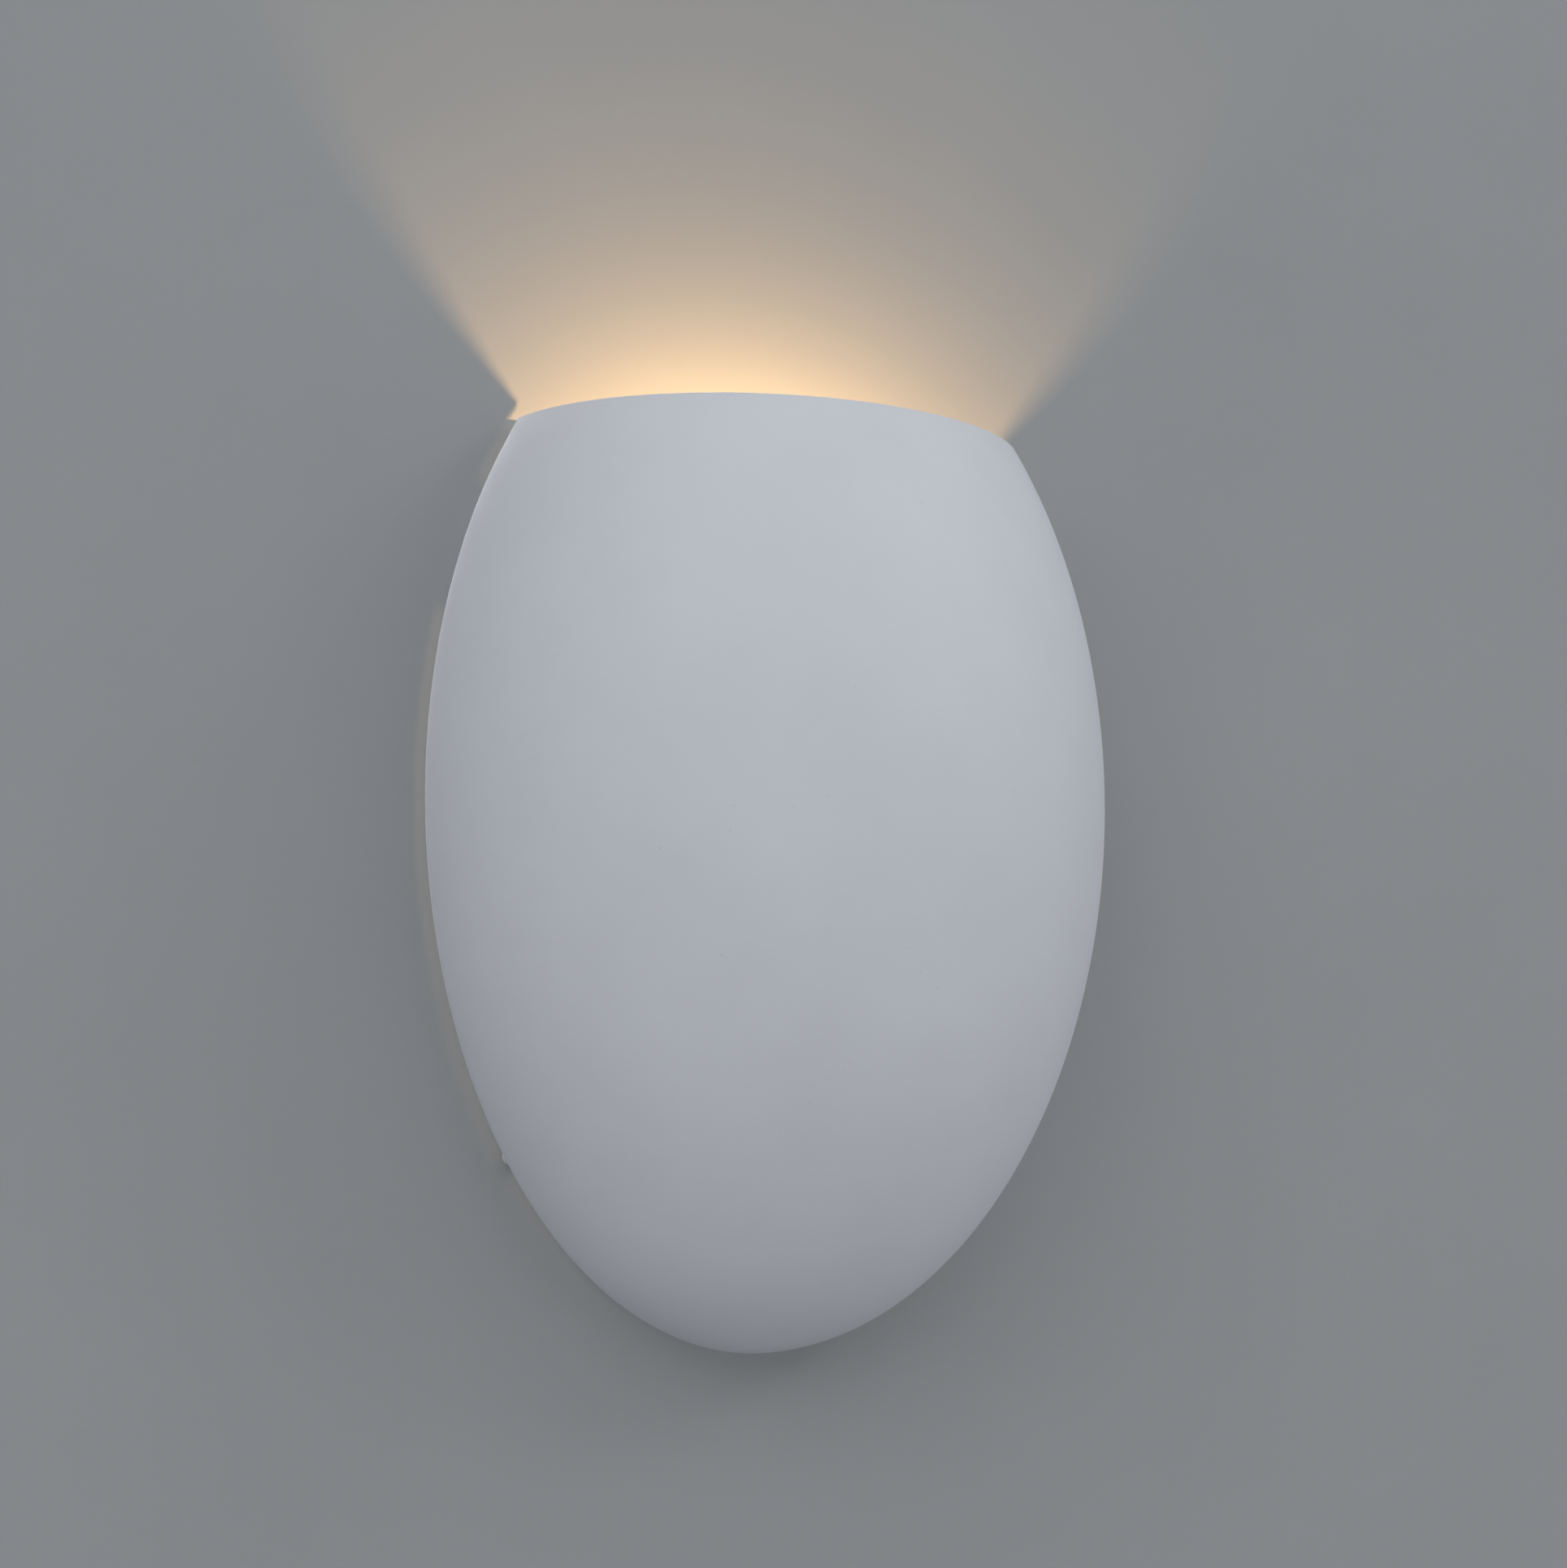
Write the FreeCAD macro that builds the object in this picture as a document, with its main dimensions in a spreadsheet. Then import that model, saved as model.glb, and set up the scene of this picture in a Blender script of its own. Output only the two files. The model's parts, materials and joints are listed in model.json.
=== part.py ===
import FreeCAD, Part
import math
import os
import sys

import Sketcher

# Uplighter wall sconce: a half-egg ceramic shade, open at the top and at the back, hangs by a steel strap
# on the two hooks of a pressed wall plate. The plate also carries the lamp bracket with its lampholder and
# capsule lamp, the terminal block, the earth stud and the grommet of the supply cable.
#
# Frame: millimetres, +Z up, +X to the right seen from the room, +Y into the wall. The wall's face is the
# plane y = 0, and the origin is midway between the two fixing slots of the wall plate.

SIZES = {
    # Shade: half an ellipsoid, cut level at its rim
    "shade_width": 200.0,
    "shade_depth": 90.0,
    "shade_tail": 150.0,
    "rim_height": 100.0,
    "shade_wall": 6.0,
    "back_gap": 2.5,
    "rim_round_out": 2.6,
    "rim_round_in": 2.0,
    # Lugs inside the shade that carry the strap
    "lug_width": 26.0,
    "lug_margin": 3.0,
    "lug_depth": 14.0,
    "lug_round": 3.0,
    # Strap across the back of the shade, and its screws
    "strap_end_gap": 3.0,
    "strap_height": 20.0,
    "strap_sheet": 2.0,
    "strap_corner": 4.0,
    "strap_screw_inset": 6.0,
    "strap_plate_gap": 1.5,
    "insert_radius": 3.5,
    "insert_length": 10.0,
    "strap_screw_radius": 2.0,
    "strap_screw_reach": 9.0,
    "strap_head_radius": 3.8,
    "strap_head_height": 2.4,
    "strap_washer_radius": 4.6,
    "strap_washer_sheet": 0.8,
    # Bumpers between the shade's lower back edge and the wall
    "bumper_radius": 2.3,
    "bumper_drop": 100.0,
    # Wall plate: a flat flange round a raised panel
    "plate_width": 128.0,
    "plate_top": 74.0,
    "plate_bottom": 66.0,
    "plate_sheet": 1.5,
    "plate_corner": 9.0,
    "panel_rise": 3.0,
    "panel_width": 92.0,
    "panel_margin": 6.0,
    "panel_corner": 8.0,
    "slot_spacing": 112.0,
    "slot_length": 10.0,
    "slot_width": 5.0,
    # Hooks of the wall plate
    "hook_seat": 44.0,
    "hook_spacing": 72.0,
    "hook_width": 14.0,
    "hook_lip": 9.0,
    "hook_slack": 0.3,
    "hook_bend": 1.4,
    "hook_window": 15.0,
    # Grommet in the wall plate
    "cable_radius": 4.5,
    "grommet_hole_radius": 7.5,
    "grommet_rim": 2.0,
    "grommet_lip": 1.6,
    # Lamp bracket and its rivets
    "bracket_width": 32.0,
    "bracket_sheet": 1.5,
    "bracket_top": 28.5,
    "bracket_drop": 24.0,
    "bracket_reach": 50.0,
    "bracket_bend": 2.5,
    "bracket_corner": 5.0,
    "rivet_spacing": 18.0,
    "rivet_drop": 41.0,
    "rivet_radius": 1.6,
    "rivet_head_radius": 3.0,
    "rivet_head_height": 1.3,
    "rivet_tail_radius": 2.3,
    "rivet_tail_height": 1.2,
    # Lampholder
    "lamp_reach": 38.0,
    "holder_length": 30.0,
    "holder_width": 16.0,
    "holder_round": 3.0,
    "holder_base_height": 3.0,
    "holder_body_height": 17.0,
    "socket_depth": 2.0,
    "socket_clearance": 0.4,
    "chamber_length": 4.6,
    "chamber_width": 6.4,
    "chamber_height": 14.0,
    "lead_hole_radius": 1.45,
    "holder_screw_spacing": 22.0,
    "small_screw_radius": 1.5,
    "small_screw_clearance": 0.1,
    "small_head_radius": 2.6,
    "small_head_height": 1.8,
    "head_recess_clearance": 0.2,
    "small_nut_radius": 3.1,
    "small_nut_height": 2.1,
    "small_screw_end": 0.6,
    # Spring contacts of the lampholder
    "pin_spacing": 9.0,
    "contact_sheet": 0.4,
    "contact_width": 4.0,
    "contact_height": 12.0,
    "contact_tail_radius": 0.9,
    "contact_tail_length": 1.5,
    # Capsule lamp
    "lamp_foot_length": 15.2,
    "lamp_foot_width": 6.6,
    "lamp_foot_height": 5.0,
    "lamp_base_radius": 8.0,
    "lamp_base_height": 14.0,
    "lamp_skirt": 3.0,
    "dome_radius": 7.4,
    "dome_height": 34.0,
    "dome_wall": 0.8,
    "dome_seat_depth": 2.0,
    "core_width": 7.0,
    "core_height": 26.0,
    "chip_width": 2.6,
    "chip_height": 3.4,
    "chip_sheet": 0.5,
    "chip_rows": 4.0,
    "chip_pitch": 6.0,
    "chip_start": 4.0,
    "pin_wire_radius": 0.5,
    "pin_loop_width": 2.8,
    "pin_length": 7.5,
    "pin_root": 1.5,
    "pin_fit": 0.05,
    # Terminal block
    "pole_pitch": 9.0,
    "pole_count": 3.0,
    "block_across": 31.0,
    "block_middle_drop": 41.5,
    "block_height": 17.0,
    "block_depth": 12.0,
    "block_round": 1.5,
    "sleeve_depth": 5.0,
    "sleeve_radius": 2.2,
    "sleeve_bore": 1.5,
    "sleeve_inset": 1.0,
    "clamp_spacing": 8.0,
    "clamp_head_radius": 1.7,
    "clamp_head_length": 3.0,
    "clamp_thread_radius": 1.1,
    "clamp_well_clearance": 0.2,
    "clamp_slot_width": 0.6,
    "clamp_slot_depth": 0.8,
    "block_recess": 2.2,
    # Earth stud
    "earth_across": 32.0,
    "earth_drop": 40.0,
    "stud_radius": 2.0,
    "stud_collar_radius": 2.9,
    "stud_reach": 9.5,
    "toothed_washer_radius": 4.4,
    "toothed_washer_sheet": 0.8,
    "washer_teeth": 10.0,
    "tooth_depth": 0.8,
    "stud_clearance": 0.1,
    "lug_ring_radius": 4.2,
    "lug_ring_sheet": 0.8,
    "lug_barrel_radius": 2.0,
    "lug_barrel_length": 5.0,
    "lug_neck": 6.0,
    "earth_nut_radius": 4.0,
    "earth_nut_height": 3.0,
    # Leads
    "lead_radius": 1.3,
    "conductor_radius": 0.65,
    "strip_length": 6.5,
    "lead_drop": 9.0,
    "lamp_lead_rise": 14.0,
    "earth_lead_sag": 9.0,
    "live_lead_sag": 6.0,
    "neutral_lead_sag": 16.0,
}

# Shares of another size
RECESS_BAR_SHARE = 0.28
RIVET_DOME_SHARE = 0.8
BEND_SHARE = 0.45
SAG_SHARE = 0.3

doc = FreeCAD.newDocument("wall_sconce")
dims = doc.addObject("Spreadsheet::Sheet", "dims")
V = FreeCAD.Vector
PIECES = []

# Levels measured out from the wall, and heights, each worked out from the sizes above
PANEL_BACK = "(dims.panel_rise)"
PANEL_FRONT = "(dims.panel_rise + dims.plate_sheet)"
STRAP_BACK = f"({PANEL_FRONT} + dims.strap_plate_gap)"
STRAP_FRONT = f"({STRAP_BACK} + dims.strap_sheet)"
STRAP_TOP = "(dims.hook_seat + dims.strap_height)"
STRAP_MIDDLE = "(dims.hook_seat + dims.strap_height / 2)"
STRAP_UP_SHARE = f"({STRAP_TOP} / (dims.shade_tail - dims.shade_wall))"
STRAP_OUT_SHARE = f"(({STRAP_FRONT} - dims.back_gap) / (dims.shade_depth - dims.shade_wall))"
INSIDE_AT_STRAP = (
    f"((dims.shade_width / 2 - dims.shade_wall) * sqrt(1 - {STRAP_UP_SHARE} ^ 2 - {STRAP_OUT_SHARE} ^ 2))"
)
STRAP_HALF = f"({INSIDE_AT_STRAP} - dims.strap_end_gap)"
STRAP_SCREW_ACROSS = f"({STRAP_HALF} - dims.strap_screw_inset)"
LIP_BACK = f"({STRAP_FRONT} + dims.hook_slack)"
LIP_FRONT = f"({LIP_BACK} + dims.plate_sheet)"
BRACKET_FRONT = f"({PANEL_FRONT} + dims.bracket_sheet)"
SHELF_UNDER = "(-dims.bracket_top - dims.bracket_sheet)"
HOLDER_LOW = "(-dims.bracket_top)"
HOLDER_MID = f"({HOLDER_LOW} + dims.holder_base_height)"
HOLDER_TOP = f"({HOLDER_MID} + dims.holder_body_height)"
SOCKET_FLOOR = f"({HOLDER_TOP} - dims.socket_depth)"
FOOT_TOP = f"({SOCKET_FLOOR} + dims.lamp_foot_height)"
LAMP_SHOULDER = f"({FOOT_TOP} + dims.lamp_base_height)"
BLOCK_FRONT = f"({PANEL_FRONT} + dims.block_depth)"
BLOCK_MIDDLE = "(-dims.block_middle_drop)"
BLOCK_LOW = f"({BLOCK_MIDDLE} - dims.block_height / 2)"
SLEEVE_LINE = f"({PANEL_FRONT} + dims.sleeve_depth)"
SLEEVE_LOW = f"({BLOCK_LOW} + dims.sleeve_inset)"
LUG_RING_BACK = f"({PANEL_FRONT} + dims.toothed_washer_sheet)"
LUG_RING_FRONT = f"({LUG_RING_BACK} + dims.lug_ring_sheet)"
BARREL_LINE = f"({LUG_RING_BACK} + dims.lug_barrel_radius)"
BARREL_LOW = "(-dims.earth_drop - dims.lug_neck - dims.lug_barrel_length)"


def fill_sheet():
    """Writes each size on a row of its own, with its name as the alias."""
    for row, (name, size) in enumerate(SIZES.items(), start=1):
        dims.set(f"A{row}", name)
        dims.set(f"B{row}", str(size))
        dims.setAlias(f"B{row}", name)
    doc.recompute()


def value(expression):
    """The number that an expression of the sheet gives."""
    return float(dims.evalExpression(str(expression)))


def bind(item, **expressions):
    """Ties properties to the sheet; an underscore in a name stands for the dot of a path."""
    for name, expression in expressions.items():
        item.setExpression(name.replace("_", "."), str(expression))


def place(item, x="0", y="0", z="0"):
    """Ties an item's position to the sheet."""
    bind(item, Placement_Base_x=x, Placement_Base_y=y, Placement_Base_z=z)
    return item


def piece(item, name):
    """Names a finished sub-part, which becomes a file of that name."""
    item.Label = name
    PIECES.append(item)
    return item


# Part primitives and booleans

TURN_OUT = FreeCAD.Rotation(V(1, 0, 0), 90)
UPRIGHT = FreeCAD.Rotation()


def block(name, x, y, z, length, width, height):
    """A box from its lowest corner, with its sides along X, Y and Z."""
    item = doc.addObject("Part::Box", name)
    bind(item, Length=length, Width=width, Height=height)
    return place(item, x, y, z)


def rod(name, radius, length, x, y, z, turn=UPRIGHT):
    """A cylinder that starts at x, y, z and runs up, or out from the wall with TURN_OUT."""
    item = doc.addObject("Part::Cylinder", name)
    item.Placement = FreeCAD.Placement(V(), turn)
    bind(item, Radius=radius, Height=length)
    return place(item, x, y, z)


def hexagon(name, radius, length, x, y, z, turn=UPRIGHT):
    """A six-sided bar, placed as a rod is."""
    item = doc.addObject("Part::Prism", name)
    item.Polygon = 6
    item.Placement = FreeCAD.Placement(V(), turn)
    bind(item, Circumradius=radius, Height=length)
    return place(item, x, y, z)


def join(name, parts):
    item = doc.addObject("Part::MultiFuse", name)
    item.Shapes = parts
    item.Refine = True
    return item


def cut(name, base, tools):
    """The base without its tools."""
    tool = tools[0] if len(tools) == 1 else join(name + "_tools", tools)
    item = doc.addObject("Part::Cut", name)
    item.Base = base
    item.Tool = tool
    return item


def overlap(name, base, tool):
    item = doc.addObject("Part::Common", name)
    item.Base = base
    item.Tool = tool
    return item


def group(name, items):
    """Identical pieces in one node, as separate solids."""
    item = doc.addObject("Part::Compound", name)
    item.Links = items
    return item


def rounded(name, base, radius, wanted):
    """The base with the edges that wanted() picks rounded to one radius."""
    doc.recompute()
    picked = [n for n, edge in enumerate(base.Shape.Edges, start=1) if wanted(edge)]
    item = doc.addObject("Part::Fillet", name)
    item.Base = base
    item.Edges = [(n, radius, radius) for n in picked]
    return item


def middle(edge):
    """The point halfway along an edge."""
    return edge.valueAt((edge.FirstParameter + edge.LastParameter) / 2)


def along(edge, axis):
    """Whether an edge is straight and parallel to an axis."""
    if not isinstance(edge.Curve, (Part.Line, Part.LineSegment)):
        return False
    way = edge.tangentAt(edge.FirstParameter)
    return abs(abs(way.dot(axis)) - 1) < 1e-6


def near(a, b):
    return abs(a - b) < 1e-3


# PartDesign bodies


def new_body(name):
    return doc.addObject("PartDesign::Body", name)


def new_sketch(body, name, plane, offset="0"):
    """A sketch on one of the body's own origin planes, moved along the plane's normal by offset."""
    sketch = body.newObject("Sketcher::SketchObject", name)
    planes = {item.Role: item for item in body.Origin.OriginFeatures}
    sketch.AttachmentSupport = [(planes[plane], "")]
    sketch.MapMode = "FlatFace"
    sketch.setExpression("AttachmentOffset.Base.z", str(offset))
    return sketch


def fix(sketch, kind, geometry, point, expression):
    """Ties one coordinate of a point of the sketch to the sheet, or puts the point on the axis if it is 0."""
    if near(value(expression), 0):
        axis = -2 if kind == "DistanceX" else -1
        sketch.addConstraint(Sketcher.Constraint("PointOnObject", geometry, point, axis))
        return
    number = sketch.addConstraint(Sketcher.Constraint(kind, -1, 1, geometry, point, value(expression)))
    sketch.setExpression(f"Constraints[{number}]", str(expression))


def outline(sketch, points):
    """A closed outline of straight lines, with every corner tied to the sheet."""
    first = sketch.GeometryCount
    corners = [V(value(x), value(y), 0) for x, y in points]
    count = len(corners)
    for start, end in zip(corners, corners[1:] + corners[:1]):
        sketch.addGeometry(Part.LineSegment(start, end), False)
    for n in range(count):
        sketch.addConstraint(Sketcher.Constraint("Coincident", first + n, 2, first + (n + 1) % count, 1))
    for n, (x, y) in enumerate(points):
        fix(sketch, "DistanceX", first + n, 1, x)
        fix(sketch, "DistanceY", first + n, 1, y)


def rectangle(sketch, left, right, low, high):
    outline(sketch, [(left, low), (right, low), (right, high), (left, high)])


def circle(sketch, x, y, radius):
    """A circle with its centre and radius tied to the sheet."""
    number = sketch.addGeometry(Part.Circle(V(value(x), value(y), 0), V(0, 0, 1), value(radius)), False)
    fix(sketch, "DistanceX", number, 3, x)
    fix(sketch, "DistanceY", number, 3, y)
    size = sketch.addConstraint(Sketcher.Constraint("Radius", number, value(radius)))
    sketch.setExpression(f"Constraints[{size}]", str(radius))


def pad(body, name, sketch, length, symmetric=False, taper=0.0):
    feature = body.newObject("PartDesign::Pad", name)
    feature.Profile = sketch
    feature.SideType = "Symmetric" if symmetric else "One side"
    feature.TaperAngle = taper
    bind(feature, Length=length)
    doc.recompute()
    return feature


def pocket(body, name, sketch, length=None, onward=True, taper=0.0):
    """Cuts along the sketch's normal if onward, else against it; right through with no length."""
    before = body.Shape.Volume
    feature = body.newObject("PartDesign::Pocket", name)
    feature.Profile = sketch
    feature.Reversed = onward
    feature.TaperAngle = taper
    if length is None:
        feature.Type = "ThroughAll"
    else:
        bind(feature, Length=length)
    doc.recompute()
    if not body.Shape.Volume < before - 1e-3:
        sys.exit(f"{body.Name}: {name} cuts nothing")
    return feature


def turned(body, name, sketch):
    """Turns a profile once round the upright axis of its sketch."""
    feature = body.newObject("PartDesign::Revolution", name)
    feature.Profile = sketch
    feature.ReferenceAxis = (sketch, ["V_Axis"])
    feature.Angle = 360.0
    doc.recompute()
    return feature


def round_edges(body, name, radius, wanted):
    """Rounds the edges of the body's last feature that wanted() picks."""
    doc.recompute()
    last = body.Tip
    picked = [f"Edge{n}" for n, edge in enumerate(last.Shape.Edges, start=1) if wanted(edge)]
    feature = body.newObject("PartDesign::Fillet", name)
    feature.Base = (last, picked)
    bind(feature, Radius=radius)
    doc.recompute()
    return feature


# The shade and what is fastened to it


def half_egg(name, wall):
    """The solid half ellipsoid whose flat side faces the wall, made smaller all round by wall."""
    item = doc.addObject("Part::Ellipsoid", name)
    item.Placement = FreeCAD.Placement(V(), TURN_OUT)
    item.Angle1 = 0
    item.Angle2 = 90
    bind(
        item,
        Radius1=f"dims.shade_depth - {wall}",
        Radius2=f"dims.shade_width / 2 - {wall}",
        Radius3=f"dims.shade_tail - {wall}",
    )
    return place(item, y="-dims.back_gap")


def lug(side):
    """One lug on the shade's inner wall, left as side -1 or right as 1, that stops at the outer surface."""
    name = "lug_left" if side < 0 else "lug_right"
    inner_face = f"({STRAP_SCREW_ACROSS} - dims.lug_width / 2)"
    rough = block(
        name + "_rough",
        f"-{inner_face} - dims.shade_width / 4" if side < 0 else inner_face,
        f"-{STRAP_FRONT} - dims.lug_depth",
        "dims.hook_seat - dims.lug_margin",
        "dims.shade_width / 4",
        "dims.lug_depth",
        "dims.strap_height + 2 * dims.lug_margin",
    )
    depth = value(STRAP_FRONT) + value("dims.lug_depth")
    soft = rounded(
        name + "_soft",
        rough,
        value("dims.lug_round"),
        lambda edge: near(abs(middle(edge).x), value(inner_face)) and near(middle(edge).y, -depth),
    )
    skin = half_egg(name + "_limit", "dims.shade_wall / 2")
    return overlap(name, soft, skin)


def shade_shell():
    hollow = cut("hollow_egg", half_egg("outer_egg", "0"), [half_egg("inner_egg", "dims.shade_wall")])
    above_rim = block(
        "above_rim",
        "-dims.shade_width",
        "-2 * dims.shade_depth",
        "dims.rim_height",
        "2 * dims.shade_width",
        "3 * dims.shade_depth",
        "dims.shade_tail",
    )
    open_shell = cut("open_shell", hollow, [above_rim])
    rim = value("dims.rim_height")
    gap = value("dims.back_gap")

    def on_rim(edge, outside):
        """Whether an edge is the outer or the inner curve of the level rim."""
        point = middle(edge)
        if not all(near(vertex.Z, rim) for vertex in edge.Vertexes) or not near(point.z, rim):
            return False
        half_width = value("dims.shade_width") / 2 - value("dims.shade_wall") / 2
        depth = value("dims.shade_depth") - value("dims.shade_wall") / 2
        tail = value("dims.shade_tail") - value("dims.shade_wall") / 2
        reach = (point.x / half_width) ** 2 + ((point.y + gap) / depth) ** 2 + (rim / tail) ** 2
        return not near(point.y, -gap) and (reach > 1) == outside

    soft_out = rounded("rim_outside", open_shell, value("dims.rim_round_out"), lambda e: on_rim(e, True))
    soft_rim = rounded("rim_inside", soft_out, value("dims.rim_round_in"), lambda e: on_rim(e, False))
    with_lugs = join("shell_with_lugs", [soft_rim, lug(-1), lug(1)])
    holes = [
        rod(
            f"insert_hole_{n}",
            "dims.insert_radius",
            "dims.insert_length",
            f"{side} * {STRAP_SCREW_ACROSS}",
            f"-{STRAP_FRONT}",
            STRAP_MIDDLE,
            TURN_OUT,
        )
        for n, side in enumerate((-1, 1))
    ]
    piece(cut("shade_shell_solid", with_lugs, holes), "shade_shell")


def hanger_strap():
    body = new_body("hanger_strap")
    sketch = new_sketch(body, "strap_outline", "XZ_Plane", STRAP_BACK)
    rectangle(sketch, f"-{STRAP_HALF}", STRAP_HALF, "dims.hook_seat", STRAP_TOP)
    pad(body, "strap_pad", sketch, "dims.strap_sheet")
    holes = new_sketch(body, "strap_holes", "XZ_Plane", STRAP_BACK)
    for side in (-1, 1):
        circle(
            holes,
            f"{side} * {STRAP_SCREW_ACROSS}",
            STRAP_MIDDLE,
            "dims.strap_screw_radius + dims.small_screw_clearance",
        )
    pocket(body, "strap_hole_cut", holes)
    round_edges(body, "strap_corners", "dims.strap_corner", lambda edge: along(edge, V(0, 1, 0)))
    piece(body, "hanger_strap")


def cross_recess(name, x, y, z, size, depth):
    """Two crossed bars that cut the driver's recess into a head that faces the wall."""
    long = f"{size}"
    short = f"({size} * {RECESS_BAR_SHARE})"
    return join(
        name,
        [
            block(name + "_across", f"{x} - {long} / 2", y, f"{z} - {short} / 2", long, depth, short),
            block(name + "_upright", f"{x} - {short} / 2", y, f"{z} - {long} / 2", short, depth, long),
        ],
    )


def strap_fixings():
    """Brass inserts in the lugs, and the washers and screws that hold the strap on them."""
    inserts, washers, screws = [], [], []
    for n, side in enumerate((-1, 1)):
        x = f"{side} * {STRAP_SCREW_ACROSS}"
        insert = rod(
            f"insert_{n}",
            "dims.insert_radius",
            "dims.insert_length",
            x,
            f"-{STRAP_FRONT}",
            STRAP_MIDDLE,
            TURN_OUT,
        )
        bore = rod(
            f"insert_bore_{n}",
            "dims.strap_screw_radius",
            "dims.insert_length",
            x,
            f"-{STRAP_FRONT}",
            STRAP_MIDDLE,
            TURN_OUT,
        )
        inserts.append(cut(f"insert_ring_{n}", insert, [bore]))
        washer_back = f"(dims.strap_washer_sheet - {STRAP_BACK})"
        washer = rod(
            f"washer_{n}",
            "dims.strap_washer_radius",
            "dims.strap_washer_sheet",
            x,
            washer_back,
            STRAP_MIDDLE,
            TURN_OUT,
        )
        washer_bore = rod(
            f"washer_bore_{n}",
            "dims.strap_screw_radius + dims.small_screw_clearance",
            "dims.strap_washer_sheet",
            x,
            washer_back,
            STRAP_MIDDLE,
            TURN_OUT,
        )
        washers.append(cut(f"washer_ring_{n}", washer, [washer_bore]))
        head_back = f"({washer_back} + dims.strap_head_height)"
        head = rod(
            f"strap_head_{n}",
            "dims.strap_head_radius",
            "dims.strap_head_height",
            x,
            head_back,
            STRAP_MIDDLE,
            TURN_OUT,
        )
        back_y = value(head_back)
        domed = rounded(
            f"strap_head_dome_{n}",
            head,
            value("dims.strap_head_height") / 2,
            lambda edge: near(middle(edge).y, back_y),
        )
        shank = rod(
            f"strap_shank_{n}",
            "dims.strap_screw_radius",
            "dims.strap_washer_sheet + dims.strap_sheet + dims.strap_screw_reach",
            x,
            washer_back,
            STRAP_MIDDLE,
            TURN_OUT,
        )
        recess_depth = "(dims.strap_head_height / 2)"
        recess = cross_recess(
            f"strap_recess_{n}",
            x,
            f"{head_back} - {recess_depth}",
            STRAP_MIDDLE,
            "dims.strap_head_radius",
            recess_depth,
        )
        screws.append(cut(f"strap_screw_{n}", join(f"strap_screw_blank_{n}", [domed, shank]), [recess]))
    piece(group("strap_insert_pair", inserts), "strap_inserts")
    piece(group("strap_washer_pair", washers), "strap_washers")
    piece(group("strap_screw_pair", screws), "strap_screws")


def back_bumpers():
    """Two rubber dots on the shade's lower back edge that keep it off the wall."""
    edge_width = "(dims.shade_width / 2 - dims.shade_wall / 2)"
    edge_tail = "(dims.shade_tail - dims.shade_wall / 2)"
    across = f"({edge_width} * sqrt(1 - (dims.bumper_drop / {edge_tail}) ^ 2))"
    dots = [
        rod(
            f"bumper_{n}",
            "dims.bumper_radius",
            "dims.back_gap",
            f"{side} * {across}",
            "0",
            "-dims.bumper_drop",
            TURN_OUT,
        )
        for n, side in enumerate((-1, 1))
    ]
    piece(group("bumper_pair", dots), "back_bumpers")


# The wall plate


def hook(body, name, side):
    """A tab bent out of the panel: a seat for the strap, then a lip up in front of it."""
    root = f"(-{PANEL_FRONT} + dims.plate_sheet / 2)"
    under = "(dims.hook_seat - dims.plate_sheet)"
    lip_top = "(dims.hook_seat + dims.hook_lip)"
    profile = [
        (root, under),
        (f"-{LIP_FRONT}", under),
        (f"-{LIP_FRONT}", lip_top),
        (f"-{LIP_BACK}", lip_top),
        (f"-{LIP_BACK}", "dims.hook_seat"),
        (root, "dims.hook_seat"),
    ]
    sketch = new_sketch(body, name + "_profile", "YZ_Plane", f"{side} * dims.hook_spacing / 2")
    outline(sketch, profile)
    pad(body, name, sketch, "dims.hook_width", symmetric=True)


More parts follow.
